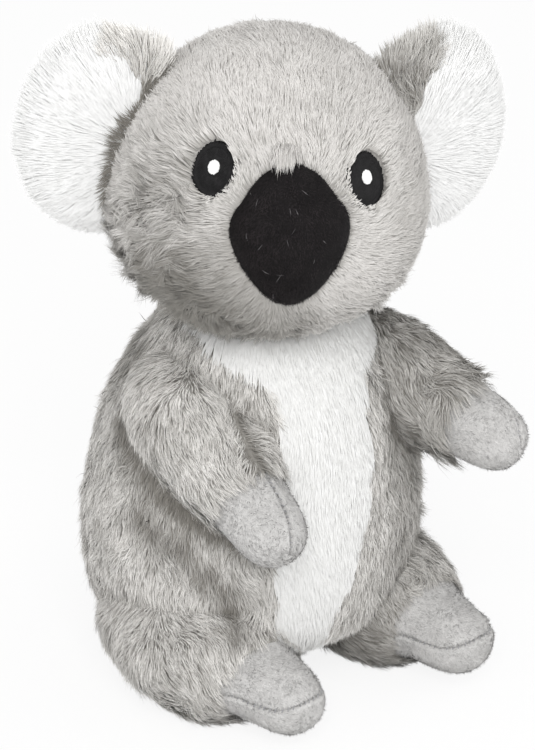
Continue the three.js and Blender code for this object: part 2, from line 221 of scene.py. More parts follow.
# Eyes
EYE_WIDTH = 12.6
EYE_HEIGHT = 14.8
EYE_OUT = PILE_OUT + 0.4
GLINT_WIDTH = 3.4
GLINT_HEIGHT = 3.7
GLINT_RISE = 1.0  # above the middle of the eye
GLINT_GAP = 0.1
EYE_RISES = {1: 15, -1: 16}  # for its left and its right
EYE_SLANTS = {1: 30, -1: 32}  # degrees round the head from straight ahead
EYE_BARE = -0.07  # share of the eye's half size at which the pile ends
STITCH_WIDTH = 0.42
STITCH_HEIGHT = 0.2
STITCH_SHORTEST = 0.8
STITCH_LENGTH = 3.2
STITCH_LENGTH_SPREAD = 1.6
# A thread's section, as shares of half its width and of its height
THREAD_ROUND = ((-1, 0), (-0.55, 0.85), (0, 1), (0.55, 0.85), (1, 0))
THREAD_END_SINK = 0.25
PATCH_EDGE_SINK = 0.9

# Ears
EAR_TALL = 52
EAR_REACH = 45
EAR_THICK = 9
EAR_INSIDE = 18
EAR_SQUARE = 2.1
EAR_SHARES = ((0, 0.9), (0.5, 1), (1, 1))
EAR_LEAN = 10  # degrees up from straight out
EAR_SWEEPS = {"left": 26, "right": 8}  # degrees back
EAR_GREY_EDGES = {
    "right": dict(base=-3, slope=0.45, start=7, rim=22, rim_out=12, tone=0.02, shaded_crease=1.0),
    "left": dict(base=-10, slope=0.62, start=-2, rim=34, rim_out=6, tone=-0.36, shaded_crease=0.0),
}

# Limbs
ARM = dict(thick=29, deep=27, root=12, length=58, cuff=39, square=3.1)
ARM_SHARES = ((0, 1), (0.3, 1), (0.52, 0.9), (0.7, 0.73), (0.85, 0.72), (1, 0.77))
ARM_AIMS = {"left": (0.37, -0.88, -0.28), "right": (0.06, -0.87, -0.46)}
LEG = dict(thick=42, deep=35, root=20, length=56, cuff=36, square=3.1)
LEG_SHARES = ((0, 1), (0.3, 1.03), (0.5, 1.02), (0.62, 0.88), (0.73, 0.6), (0.85, 0.56), (1, 0.6))
LEG_AIMS = {"left": (0.17, -0.98, -0.12), "right": (0.16, -0.98, -0.15)}
OUTER_FACING = (0.0, 0.7)  # how far up or out a limb's skin faces on its outer side
OUTER_START = (-4, 6)
OUTER_END = (26, 38)

SEAM_HALF_WIDTH = 0.55
SEAM_DEPTH = 0.8
SEAM_BANK = 0.28
SEAM_BANK_PLACE = 1.3
SEAM_BANK_WIDTH = 0.6
SEAM_NEAR = 0.12
SEAM_BARE = 0.35
PUCKERS = 0.25
PUCKER_PITCH = 2.9  # radians a millimetre
STITCH_PITCH = 1.9
SEAM_STITCH = dict(reach=0.75, slant=0.7, jitter=0.25, width=0.34, height=0.16, out=-0.3)
HAND_SEAM_ASIDE = {"left": 8.5, "right": 2.8}
SLEEVE_SEAMS = {
    "left": ((-2, 9), (39, 8.5)),
    "right": ((-2, 9.1), (11, 5.5), (24.5, 2.2), (35, 1.5), (39, 2.8)),
}
FOOT_SEAM_RISE = 5.5
FOOT_SEAM_DROP = 4
FOOT_HALF_WIDTH = 12.5

# How the pile lies on each limb: tone, how much paler it is, which on the far arm and leg is painted shade
# on the side away from the lamps; fall, how much it hangs; cuff, how much longer it is at the cuff; flecks,
# the share of dark ones in the velour; tousle, how wild it is; aside, how much paler its outer side is; slim,
# how far in its outer side lies; shaded, how much painted shadow darkens it under the head
PLAIN_LIE = dict(cuff=-1.2, tousle=0.0, aside=0.0, slim=0.0, shaded=0.0)
PILE_LIES = {
    "arm_left": dict(PLAIN_LIE, tone=-0.33, fall=0.9, cuff=4.2, flecks=0.0, tousle=0.6),
    "arm_right": dict(PLAIN_LIE, tone=0.03, fall=0.35, cuff=-0.6, flecks=0.12, shaded=0.35),
    "leg_left": dict(PLAIN_LIE, tone=-0.42, fall=0.5, flecks=0.03, aside=0.3, slim=2.6),
    "leg_right": dict(PLAIN_LIE, tone=-0.04, fall=0.4, flecks=0.04),
}

# Camera, as the photograph was taken
CAMERA_PLACE = (-466.8, -732.1, 502.6)
CAMERA_AZIMUTH = -33
CAMERA_ELEVATION = 25.5
CAMERA_LENS = 155.04

# Studio
WORLD_STRENGTH = 0.61
FLOOR_GLOW = 0.86  # the share of plain white that the floor shows to the camera
FLOOR_HALF = 3000
LAMPS = {  # places and sizes in metres, and watts
    "key_lamp": ((-0.85, -1.4, 1.4), 1.2, 25.5),
    "fill_lamp": ((1.4, -0.9, 0.9), 1.2, 6),
    "side_lamp": ((-1.5, 0.3, 0.9), 1.0, 2.6),
}
LAMP_AIM = (0, 0, 0.1)


# Vectors and noise


def unit(v):
    """Each row made one long."""
    return v / np.maximum(np.linalg.norm(v, axis=-1, keepdims=True), 1e-9)


def dot(a, b):
    """The dot product of each pair of rows, as a column."""
    return (a * b).sum(-1, keepdims=True)


def smooth_step(low, high, value):
    """0 at low, 1 at high, level beyond them and a smooth change between them. low may be the greater."""
    t = np.clip((value - low) / (high - low), 0, 1)
    return t * t * (3 - 2 * t)


def growing(amount, low, high, value):
    """Nothing at low and the whole amount at high."""
    return amount * smooth_step(low, high, value)


def fading(amount, low, high, value):
    """The whole amount at low and nothing at high."""
    return amount * (1 - smooth_step(low, high, value))


def bump(distance, width):
    """1 at no distance, falling away over about width to both sides."""
    return np.exp(-((distance / width) ** 2))


def hashed(cells, seed):
    """A number from -1 to 1 for each cell of whole numbers, the same in every run."""
    mixed = cells[:, 0] * 73856093 ^ cells[:, 1] * 19349663 ^ cells[:, 2] * 83492791 ^ (seed * 2654435761)
    mixed = (mixed ^ (mixed >> 13)) * 1274126177 & 0x7FFFFFFF
    mixed = (mixed ^ (mixed >> 15)) * 668265263 & 0x7FFFFFFF
    return mixed / 0x3FFFFFFF - 1


def noise(points, size, seed):
    """Smooth noise from -1 to 1 whose patches are about size across."""
    cell = points / size + 100.5
    low = np.floor(cell).astype(np.int64)
    t = cell - low
    t = t * t * (3 - 2 * t)
    total = np.zeros(len(points))
    for corner in range(8):
        step = np.array([corner & 1, corner >> 1 & 1, corner >> 2 & 1])
        total += np.prod(np.where(step, t, 1 - t), 1) * hashed(low + step, seed)
    return total


def noise_vectors(points, size, seed):
    """Three noises side by side."""
    return np.stack([noise(points, size, seed + k) for k in range(3)], 1)


def through(table, places):
    """A smooth curve through [place, share] pairs."""
    x, y = np.array(table, float).T
    x = np.concatenate([[2 * x[0] - x[1]], x, [2 * x[-1] - x[-2]]])
    y = np.concatenate([[y[1]], y, [y[-2]]])
    i = np.clip(np.searchsorted(x[1:-1], places, side="right"), 1, len(x) - 3)
    p = (places - x[i]) / (x[i + 1] - x[i])
    before = (x[i + 1] - x[i]) / 2 / (x[i] - x[i - 1])
    after = (x[i + 1] - x[i]) / 2 / (x[i + 2] - x[i + 1])
    pp, ppp = p * p, p**3
    return (
        (-before * ppp + 2 * before * pp - before * p) * y[i - 1]
        + ((1 + before) * ppp + (-1.5 - 2 * before) * pp + (-0.5 + before) * p + 1) * y[i]
        + ((-1 - after) * ppp + (1.5 + after) * pp + 0.5 * p) * y[i + 1]
        + (after * ppp - after * pp) * y[i + 2]
    )


def above_floor(points):
    """The same points, none of them lower than just above the floor."""
    points[:, 2] = np.maximum(points[:, 2], FLOOR_CLEARANCE)
    return points


# Stuffed forms


class Form:
    """Oval sections along a straight spine, rounded off at both ends. Its axes are side, front and along."""

    def __init__(self, origin, axes, low, high, width, depth, width_shares, depth_shares, square):
        self.origin = np.array(origin, float)
        self.axes = np.array(axes, float)
        self.low, self.high = low, high
        self.width, self.depth = width, depth
        self.width_shares, self.depth_shares = width_shares, depth_shares
        self.square = square

    def world(self, local):
        return self.origin + local @ self.axes

    def local(self, points):
        return (points - self.origin) @ self.axes.T

    def share(self, along):
        """The place from 0 to 1 of a distance along the spine."""
        return (along - self.low) / (self.high - self.low)

    def halves(self, place):
        """Half the width and depth of the section at each place."""
        place = np.clip(place, PLACE_MARGIN, 1 - PLACE_MARGIN)
        rounding = (1 - np.abs(2 * place - 1) ** self.square) ** (1 / self.square)
        wide = self.width * through(self.width_shares, place) * rounding / 2
        return wide, self.depth * through(self.depth_shares, place) * rounding / 2

    def bare(self, place, angle):
        """Points on the form itself."""
        wide, deep = self.halves(place)
        rise = self.low + place * (self.high - self.low)
        return self.world(np.stack([np.cos(angle) * wide, np.sin(angle) * deep, rise], -1))

    def normals(self, place, angle):
        """The ways that the form faces."""
        place = np.clip(place, 2 * PLACE_STEP, 1 - 2 * PLACE_STEP)
        round_it = self.bare(place, angle + PLACE_STEP) - self.bare(place, angle - PLACE_STEP)
        up_it = self.bare(place + PLACE_STEP, angle) - self.bare(place - PLACE_STEP, angle)
        return unit(np.cross(round_it, up_it))

    def surface(self, place, angle, out):
        """Points at that height over the form, and the ways that it faces there."""
        facing = self.normals(place, angle)
        return self.bare(place, angle) + facing * np.reshape(out, (-1, 1)), facing

    def inside(self, points, out=0.0):
        """Which points lie in the form grown by out."""
        local = self.local(points)
        place = (local[:, 2] - self.low + out) / (self.high - self.low + 2 * out)
        wide, deep = self.halves(place)
        ratio = np.hypot(local[:, 0] / (wide + out), local[:, 1] / (deep + out))
        return (place > 0) & (place < 1) & (ratio < 1)

    def height(self, points):
        """About how far above the form each point lies, beside it."""
        local = self.local(points)
        wide, deep = self.halves(self.share(local[:, 2]))
        return (np.hypot(local[:, 0] / wide, local[:, 1] / deep) - 1) * np.minimum(wide, deep)

    def grid(self, around, steps):
        """Places and angles of a closed mesh's points, and its faces of three and four corners."""
        ring = (1 - np.cos(np.pi * np.arange(1, steps) / steps)) / 2
        place = np.concatenate([[0], np.repeat(ring, around), [1]])
        angle = np.concatenate([[0], np.tile(2 * np.pi * np.arange(around) / around, steps - 1), [0]])
        k = np.arange(around)
        nxt = (k + 1) % around
        last = len(place) - 1
        quads = []
        for row in range(steps - 2):
            low, high = 1 + row * around, 1 + (row + 1) * around
            quads.append(np.stack([low + k, low + nxt, high + nxt, high + k], 1))
        start = np.stack([np.zeros_like(k), 1 + nxt, 1 + k], 1)
        end = np.stack([np.full_like(k, last), last - around + k, last - around + nxt], 1)
        return place, angle, np.concatenate([start, end]), np.concatenate(quads)


def axes_along(aim, sideways):
    """Side, front and along axes for a spine that runs along aim."""
    along = unit(np.array(aim, float))
    front = unit(np.cross(along, sideways))
    return np.stack([np.cross(front, along), front, along])


def turned(axes, turn, tilt):
    """Axes turned about Z after a tilt about Y, in degrees."""
    a, b = math.radians(turn), math.radians(tilt)
    about_z = np.array([[math.cos(a), -math.sin(a), 0], [math.sin(a), math.cos(a), 0], [0, 0, 1]])
    about_y = np.array([[math.cos(b), 0, math.sin(b)], [0, 1, 0], [-math.sin(b), 0, math.cos(b)]])
    return np.array(axes, float) @ (about_z @ about_y).T


HEAD_AXES = turned(np.eye(3), HEAD_TURN, HEAD_TILT)


def joint(name):
    """A joint's place in millimetres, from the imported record."""
    found = next(j for j in frame["joints"] if j["name"] == name)
    return np.array(found["pos_m"]) / MM


def body_form():
    start = np.array([0, 0, BODY_BASE])
    end = np.array([0, -NECK_FORWARD, BODY_BASE + BODY_HEIGHT])
    axes = axes_along(end - start, (1, 0, 0))
    length = np.linalg.norm(end - start)
    shares = BODY_WIDTH_SHARES, BODY_DEPTH_SHARES
    return Form(start, axes, 0, length, BODY_WIDTH, BODY_DEPTH, *shares, BODY_SQUARE)


def head_form():
    half = HEAD_HEIGHT / 2
    shares = HEAD_WIDTH_SHARES, HEAD_DEPTH_SHARES
    return Form(HEAD_PLACE, HEAD_AXES, -half, half, HEAD_WIDTH, HEAD_DEPTH, *shares, HEAD_SQUARE)


def nose_form():
    across, forward, up = HEAD_AXES
    origin = np.array(HEAD_PLACE) - forward * HEAD_DEPTH / 2
    half = NOSE_HEIGHT / 2
    c, s = math.cos(math.radians(NOSE_ROLL)), math.sin(math.radians(NOSE_ROLL))
    axes = np.stack([across * c + up * s, forward, up * c - across * s])
    return Form(origin, axes, -half, half, NOSE_WIDTH, NOSE_DEPTH, NOSE_SHARES, NOSE_SHARES, NOSE_SQUARE)


def ear_form(name, side):
    lean, back = math.radians(EAR_LEAN), math.radians(EAR_SWEEPS[name])
    aim = np.array([side * math.cos(lean) * math.cos(back), math.sin(back), math.sin(lean)])
    axes = axes_along(aim @ HEAD_AXES, HEAD_AXES[2])
    reach = EAR_REACH - EAR_INSIDE
    shares = EAR_SHARES, EAR_SHARES
    return Form(joint(f"ear_fold_{name}"), axes, -EAR_INSIDE, reach, EAR_TALL, EAR_THICK, *shares, EAR_SQUARE)


def limb_form(pivot, aim, sizes, shares):
    axes = axes_along(aim, (1, 0, 0))
    wide, deep = sizes["thick"], sizes["deep"]
    return Form(pivot, axes, -sizes["root"], sizes["length"], wide, deep, shares, shares, sizes["square"])


# Meshes


def make_mesh(name, points, faces, material, facing=None):
    """An object from points in millimetres and arrays of faces, all smooth."""
    mesh = bpy.data.meshes.new(name)
    corners = np.concatenate([f.ravel() for f in faces]).astype(np.int32)
    sizes = np.concatenate([np.full(len(f), f.shape[1]) for f in faces])
    starts = np.concatenate([[0], np.cumsum(sizes)[:-1]]).astype(np.int32)
    mesh.vertices.add(len(points))
    mesh.vertices.foreach_set("co", (points * MM).astype(np.float32).ravel())
    mesh.loops.add(len(corners))
    mesh.loops.foreach_set("vertex_index", corners)
    mesh.polygons.add(len(starts))
    mesh.polygons.foreach_set("loop_start", starts)
    mesh.update(calc_edges=True)
    mesh.polygons.foreach_set("use_smooth", np.ones(len(starts), bool))
    mesh.materials.append(material)
    if facing is not None:
        mesh.normals_split_custom_set_from_vertices(facing)
    piece = bpy.data.objects.new(name, mesh)
    bpy.context.scene.collection.objects.link(piece)
    return piece


def cut_out(points, faces, wanted, share=1.0):
    """The faces that have at least that share of wanted corners, after which points they use."""
    left = [f[wanted[f].sum(1) >= share * f.shape[1]] for f in faces]
    used = np.zeros(len(points), bool)
    for f in left:
        used[f.ravel()] = True
    renumbered = np.cumsum(used) - 1
    return used, [renumbered[f] for f in left if len(f)]


def outer_share(form, points, facing):
    """How far each point lies on the upper or left side of a limb's thick part, from 0 to 1."""
    along = form.local(points)[:, 2]
    turned_out = smooth_step(*OUTER_FACING, np.maximum(facing[:, 0], facing[:, 2]))
    return turned_out * smooth_step(*OUTER_START, along) * fading(1, *OUTER_END, along)


def stuffed(points, facing, lumps, seed):
    """Points moved out and in by the uneven stuffing under them."""
    return points + facing * (noise(points, LUMP_SIZE, seed) * lumps)[:, None]


def skin_piece(name, form, out, material, grid=(96, 64), lumps=LUMPS, seed=1, cuff=None, bend=None, slim=0.0):
    """A form's cloth as a closed mesh. It lies close to the stuffing past the cuff."""
    place, angle, threes, fours = form.grid(*grid)
    if cuff is not None:
        rise = form.low + place * (form.high - form.low)
        out = THIN_OUT + fading(out - THIN_OUT, cuff - THIN_RUN, cuff, rise)
    points, facing = form.surface(place, angle, out)
    points = stuffed(points, facing, lumps, seed)
    if slim:
        points = points - facing * (slim * outer_share(form, points, facing))[:, None]
    if bend:
        points = bend(points)
    return make_mesh(name, above_floor(points), [threes, fours], material)


# Hairs


def scatter(form, out, density, rng, around=120, steps=80):
    """Random roots over the form at that height, density to a square millimetre: points and facings."""
    place, angle, threes, fours = form.grid(around, steps)
    points, facing = form.surface(place, angle, out)
    faces = np.concatenate([threes, fours[:, [0, 1, 2]], fours[:, [0, 2, 3]]])
    a, b, c = (points[faces[:, k]] for k in range(3))
    area = np.linalg.norm(np.cross(b - a, c - a), axis=1) / 2
    picked = np.repeat(np.arange(len(faces)), rng.poisson(area * density))
    first, second = np.sqrt(rng.random((len(picked), 1))), rng.random((len(picked), 1))
    weights = np.concatenate([1 - first, first * (1 - second), first * second], 1)[:, :, None]
    roots = (points[faces[picked]] * weights).sum(1)
    return roots, unit((facing[faces[picked]] * weights).sum(1))


def tuft_of(roots, guides):
    """The nearest guide to each root, as indices into roots."""
    tree = KDTree(len(guides))
    for i in guides:
        tree.insert(Vector(roots[i]), int(i))
    tree.balance()
    return np.array([tree.find(Vector(root))[1] for root in roots])


def hair_shades(look, count, guide, rng):
    """Each hair's shade: the place's, its own and its tuft's, and less for the few dark ones."""
    shade = OWN_SHADE * rng.standard_normal(count) + TUFT_SHADE * rng.standard_normal(count)[guide]
    shade = look["shade"] + look["spread"] * shade
    shade = shade - DARK_HAIR * (rng.random(count) < look.get("flecks", 0.0))
    return np.clip(shade, *SHADE_ENDS)


def hairs(name, roots, facing, flow, look, material, rng):
    """A piece of tapered curved hairs. look gives their length, lift, width, wild, swirl, tuft, gather and
    shade, the spread of their shades, their relief and the share of dark flecks among them. wild is how much
    single hairs stray, swirl how much patches of them do, gather how far a tuft's tips come together, and
    relief how much they roll and face to their own sides."""
    count = len(roots)
    length = (look["length"] * (1 + LENGTH_SPREAD * rng.standard_normal(count)))[:, None]
    lift = look["lift"] * (1 + LIFT_SPREAD * rng.standard_normal(count))
    lift = np.reshape(np.clip(lift, 0.02, 1), (-1, 1))
    flow = unit(flow - facing * dot(flow, facing))
    wander = rng.standard_normal((count, 3)) * look["wild"]
    swirl = noise_vectors(roots, SWIRL_SIZE, 11) + FINE_SWIRL * noise_vectors(roots, FINE_SWIRL_SIZE, 15)
    wander += swirl * np.reshape(look["swirl"], (-1, 1))
    wander -= facing * dot(wander, facing) * (1 - WANDER_FLATTENED * look["relief"])
    tip = unit(facing * lift + flow * np.sqrt(1 - lift**2) + wander)
    tip = unit(tip + facing * np.maximum(np.minimum(TIP_RISE, lift) - dot(tip, facing), 0)) * length
    middle = unit(facing * lift * MIDDLE_LIFT + flow * MIDDLE_WAY + wander * MIDDLE_WAY) * length * 0.5
    guides = np.flatnonzero(rng.random(count) < 1 / look["tuft"])
    guide = tuft_of(roots, guides)
    gather = np.reshape(look["gather"], (-1, 1)) * (GATHER_LEAST + (1 - GATHER_LEAST) * rng.random((count, 1)))
    apart = roots - roots[guide]
    tip = tip * (1 - gather) + (tip[guide] - apart * TIP_GATHER) * gather
    middle = middle * (1 - gather / 2) + (middle[guide] - apart * MIDDLE_GATHER) * gather / 2
    shade = hair_shades(look, count, guide, rng)
    roll = (rng.standard_normal(count) * look["relief"])[:, None]
    points, leans = [], []
    for k, s in enumerate(HAIR_PLACES):
        at = roots + 2 * s * (1 - s) * middle + s * s * tip
        heading = unit(2 * (1 - 2 * s) * middle + 2 * s * tip)
        across = unit(np.cross(heading, facing))
        across = across * np.cos(roll) + np.cross(heading, across) * np.sin(roll)
        lean = unit(np.cross(across, heading) * look["relief"] + facing)
        if k < len(HAIR_WIDTHS):
            half = look["width"] * HAIR_WIDTHS[k] / 2
            points += [at - across * half, at + across * half]
            leans += [lean, lean]
        else:
            points.append(at)
            leans.append(lean)
    sections = len(points)
    points = above_floor(np.stack(points, 1).reshape(-1, 3))
    first = (np.arange(count) * sections)[:, None]
    faces = [first + np.array([0, 1, 3, 2]), first + np.array([2, 3, 4])]
    piece = make_mesh(name, points, faces, material, np.stack(leans, 1).reshape(-1, 3))
    alongs = np.repeat(HAIR_PLACES, [2] * len(HAIR_WIDTHS) + [1])
    sides = np.array([-1, 1] * len(HAIR_WIDTHS) + [0])
    lay_out_hairs(piece.data, shade, alongs, sides)
    return piece


def lay_out_hairs(mesh, shade, alongs, sides):
    """Notes each hair's shade and the places along it, and lays its map out by them, so that it bakes well."""
    shades = np.repeat(shade, len(alongs))
    alongs = np.tile(alongs, len(shade))
    for title, values in (("shade", shades), ("along", alongs)):
        mesh.attributes.new(title, "FLOAT", "POINT").data.foreach_set("value", values.astype(np.float32))
    across = shades + np.tile(sides, len(shade)) * BAKE_HALF_WIDTH
    laid = np.stack([across, BAKE_MARGIN + (1 - 2 * BAKE_MARGIN) * alongs], 1).astype(np.float32)
    corners = np.empty(len(mesh.loops), np.int32)
    mesh.loops.foreach_get("vertex_index", corners)
    mesh.uv_layers.new(name="OFBake").data.foreach_set("uv", laid[corners].ravel())


def nap(name, roots, facing, flow, length, width, shade, flecks, material, rng):
    """A piece of short single hairs, as on velour."""
    count = len(roots)
    flow = unit(flow - facing * dot(flow, facing) + rng.standard_normal((count, 3)) * NAP_WANDER)
    tall = (length * (NAP_LEAST + NAP_MORE * rng.random(count)))[:, None]
    across = unit(np.cross(flow, facing)) * width / 2
    tips = above_floor(roots + unit(flow + facing * NAP_RISE) * tall)
    points = np.stack([roots - across, roots + across, tips], 1).reshape(-1, 3)
    faces = (np.arange(count) * 3)[:, None] + np.array([0, 1, 2])
    piece = make_mesh(name, points, [faces], material, np.repeat(facing, 3, 0))
    shade = shade + NAP_SHADE_SPREAD * rng.standard_normal(count) - DARK_HAIR * (rng.random(count) < flecks)
    lay_out_hairs(piece.data, np.clip(shade, *SHADE_ENDS), np.array(NAP_PLACES), np.array([-1, 1, 0]))
    return piece


# Materials


def add_node(tree, kind, **settings):
    """A new shader node of that kind with those settings."""
    node = tree.nodes.new(f"ShaderNode{kind}")
    for title, value in settings.items():
        setattr(node, title, value)
    return node


def set_inputs(node, **values):
    """Puts values on a node's sockets, named with _ where the socket's name has a space."""
    for title, value in values.items():
        node.inputs[title.replace("_", " ")].default_value = value


def group_with(name, inputs, outputs):
    """An empty shader node group with those sockets, and its two end nodes."""
    group = bpy.data.node_groups.new(name, "ShaderNodeTree")
    for title, kind, value in inputs:
        socket = group.interface.new_socket(name=title, in_out="INPUT", socket_type=f"NodeSocket{kind}")
        socket.default_value = value
    for title, kind in outputs:
        group.interface.new_socket(name=title, in_out="OUTPUT", socket_type=f"NodeSocket{kind}")
    return group, group.nodes.new("NodeGroupInput"), group.nodes.new("NodeGroupOutput")


def colour_mix(tree, factor, first, second):
    """The result socket of a colour mix of two sockets."""
    mix = add_node(tree, "Mix", data_type="RGBA")
    for title, socket in (("Factor", factor), ("A", first), ("B", second)):
        tree.links.new(socket, mix.inputs[title])
    return mix.outputs["Result"]


def pile_colours():
    """Node group: a hair's colour, from its root to a tip that is darker or paler hair by hair."""
    grey = (0.5, 0.5, 0.5, 1)
    sockets = [(title, "Color", grey) for title in ("Root", "Dark Tip", "Pale Tip")]
    group, start, end = group_with("pile_colours", sockets, [("Colour", "Color")])
    shade = add_node(group, "Attribute", attribute_name="shade")
    along = add_node(group, "Attribute", attribute_name="along")
    rise = add_node(group, "MapRange", interpolation_type="SMOOTHSTEP")
    set_inputs(rise, From_Min=0.0, From_Max=0.75)
    group.links.new(along.outputs["Fac"], rise.inputs["Value"])
    tip = colour_mix(group, shade.outputs["Fac"], start.outputs["Dark Tip"], start.outputs["Pale Tip"])
    colour = colour_mix(group, rise.outputs["Result"], start.outputs["Root"], tip)
    group.links.new(colour, end.inputs["Colour"])
    return group


def cloth_grain():
    """Node group: uneven dye over a cloth, and a fine grain for its bump."""
    sockets = [("Dark", "Color", (0.4, 0.4, 0.4, 1)), ("Pale", "Color", (0.6, 0.6, 0.6, 1))]
    sockets += [("Patch Scale", "Float", 120), ("Grain Scale", "Float", 1800)]
    group, start, end = group_with("cloth_grain", sockets, [("Colour", "Color"), ("Grain", "Float")])
    links = group.links
    place = add_node(group, "TexCoord")
    patches, grain = add_node(group, "TexNoise"), add_node(group, "TexNoise")
    set_inputs(patches, Detail=4, Roughness=0.65)
    set_inputs(grain, Detail=2)
    for node, title in ((patches, "Patch Scale"), (grain, "Grain Scale")):
        links.new(place.outputs["Object"], node.inputs["Vector"])
        links.new(start.outputs[title], node.inputs["Scale"])
    blend = add_node(group, "Math", operation="ADD")
    links.new(patches.outputs["Fac"], blend.inputs[0])
    links.new(grain.outputs["Fac"], blend.inputs[1])
    spread = add_node(group, "MapRange")
    set_inputs(spread, From_Min=0.7, From_Max=1.3)
    links.new(blend.outputs["Value"], spread.inputs["Value"])
    colour = colour_mix(group, spread.outputs["Result"], start.outputs["Dark"], start.outputs["Pale"])
    links.new(colour, end.inputs["Colour"])
    links.new(grain.outputs["Fac"], end.inputs["Grain"])
    return group


PILE_COLOURS = pile_colours()
CLOTH_GRAIN = cloth_grain()


def cloth_shader(name, roughness, sheen):
    """A material with a plain cloth shader, its node tree and the shader."""
    material = bpy.data.materials.new(name)
    material.use_nodes = True
    shader = material.node_tree.nodes["Principled BSDF"]
    set_inputs(shader, Roughness=roughness, Specular_IOR_Level=0.2, Sheen_Weight=sheen, Sheen_Roughness=0.5)
    return material, material.node_tree, shader


def hair_material(name, root, dark, pale, sheen=0.1):
    """Pile or nap, whose colour runs from root to tip."""
    material, tree, shader = cloth_shader(name, 0.75, sheen)
    colours = add_node(tree, "Group", node_tree=PILE_COLOURS)
    set_inputs(colours, Root=(*root, 1), Dark_Tip=(*dark, 1), Pale_Tip=(*pale, 1))
    tree.links.new(colours.outputs["Colour"], shader.inputs["Base Color"])
    return material


def grain_material(name, dark, pale, scales, bump_strength=0.3, roughness=0.9, sheen=0.1):
    """Cloth or thread with uneven dye and a fine grain. scales are those of its patches and its grain."""
    material, tree, shader = cloth_shader(name, roughness, sheen)
    grain = add_node(tree, "Group", node_tree=CLOTH_GRAIN)
    set_inputs(grain, Dark=(*dark, 1), Pale=(*pale, 1), Patch_Scale=scales[0], Grain_Scale=scales[1])
    tree.links.new(grain.outputs["Colour"], shader.inputs["Base Color"])
    relief = add_node(tree, "Bump")
    set_inputs(relief, Strength=bump_strength, Distance=0.15 * MM)
    tree.links.new(grain.outputs["Grain"], relief.inputs["Height"])
    tree.links.new(relief.outputs["Normal"], shader.inputs["Normal"])
    return material


BACKING_GRAIN = (90, 900)
VELOUR_GRAIN = (260, 2200)
THREAD_GRAIN = (500, 3000)
BLACK = (0.004, 0.0032, 0.0034)
VELOUR_ENDS = ((0.46, 0.452, 0.442), (0.14, 0.137, 0.132), (0.82, 0.81, 0.798))  # roots, dark and pale tips
GREY_PILE = hair_material("grey_pile_hair", (0.3, 0.285, 0.26), (0.2, 0.187, 0.165), (0.94, 0.922, 0.89))
HEAD_PILE = hair_material("head_pile_hair", (0.44, 0.425, 0.4), (0.24, 0.228, 0.205), (0.81, 0.79, 0.765))
WHITE_PILE = hair_material("white_pile_hair", (0.85, 0.85, 0.845), (0.76, 0.76, 0.745), (0.88, 0.88, 0.875))
VELOUR_NAP = hair_material("grey_velour_nap", *VELOUR_ENDS, 0.2)
BLACK_NAP = hair_material("black_velour_nap", BLACK, BLACK, (0.046, 0.037, 0.039), 0.0)
LINT = hair_material("lint_fibre", (0.1, 0.096, 0.1), (0.06, 0.057, 0.06), (0.5, 0.48, 0.49), 0.0)
GREY_BACKING = grain_material("grey_backing_cloth", (0.26, 0.25, 0.225), (0.36, 0.345, 0.32), BACKING_GRAIN)
PALE_BACKING = grain_material("pale_grey_backing_cloth", (0.48, 0.465, 0.44), (0.6, 0.58, 0.555), BACKING_GRAIN)
WHITE_BACKING = grain_material("white_backing_cloth", (0.82, 0.82, 0.81), (0.86, 0.86, 0.85), BACKING_GRAIN)
GREY_VELOUR = grain_material("grey_velour_cloth", (0.48, 0.473, 0.463), (0.62, 0.612, 0.6), VELOUR_GRAIN, 0.5)
BLACK_VELOUR = grain_material("black_velour_cloth", BLACK, (0.01, 0.0085, 0.009), VELOUR_GRAIN, 0.5, sheen=0.0)
BLACK_THREAD = grain_material(
    "black_thread_satin", (0.003, 0.0028, 0.003), (0.013, 0.0122, 0.013), THREAD_GRAIN, roughness=0.6, sheen=0.0
)
WHITE_THREAD = grain_material(
    "white_thread_satin", (0.8, 0.8, 0.79), (0.93, 0.93, 0.92), THREAD_GRAIN, roughness=0.5
)
SEAM_THREAD = grain_material(
    "grey_seam_thread", (0.26, 0.26, 0.27), (0.4, 0.4, 0.41), THREAD_GRAIN, roughness=0.6
)


# Body


def own(piece, body, nodes=(), parent=None):
    """Puts a piece on its body, in place of its solids. A piece given a parent body is only fixed where it
    stands, on no body."""
    if parent:
        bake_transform(piece)
    else:
        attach(piece, body)
    if nodes:
        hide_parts(*nodes)
    return piece


def quarters(across, back, front_name):
    """The names of a form's four quarters, and which points lie in each."""
    for end, here in ((front_name, back < 0), ("back", back >= 0)):
        for side, beside in (("left", across >= 0), ("right", across < 0)):
            yield f"{end}_{side}", here & beside


def belly_reach(points):
    """How far inside the belly panel's outline each point lies, in millimetres, below zero outside it."""
    rise = np.clip(points[:, 2], BELLY_TO_LEFT[0][0], BELLY_TO_LEFT[-1][0])
    to_right = points[:, 0] + through(BELLY_TO_RIGHT, rise)
    to_left = through(BELLY_TO_LEFT, rise) - points[:, 0]
    reach = np.minimum(np.minimum(to_right, to_left), points[:, 2] - BELLY_BOTTOM)
    return np.where(points[:, 1] < BELLY_BACK, reach, -FAR)


def front_lifted(points):
    """The body's points with its underside pulled up a little at the front, between the feet."""
    share = smooth_step(*FRONT_LIFT_FORWARD, points[:, 1]) * fading(1, *FRONT_LIFT_UP, points[:, 2])
    share *= fading(1, *FRONT_LIFT_ASIDE, np.abs(points[:, 0]))
    return points + np.array([0, 0, FRONT_LIFT]) * share[:, None]


def hollow_share(points):
    """How far into the shaded hollow between its right arm and its foot each point lies, from 0 to 1."""
    line = np.array(HOLLOW, float)
    steps = np.linspace(0, len(line) - 1, HOLLOW_STEPS)
    line = np.stack([np.interp(steps, np.arange(len(line)), line[:, k]) for k in range(3)], 1)
    away = np.min(np.linalg.norm(points[:, None] - line[None], axis=2), axis=1)
    return bump(away, HOLLOW_WIDTH)


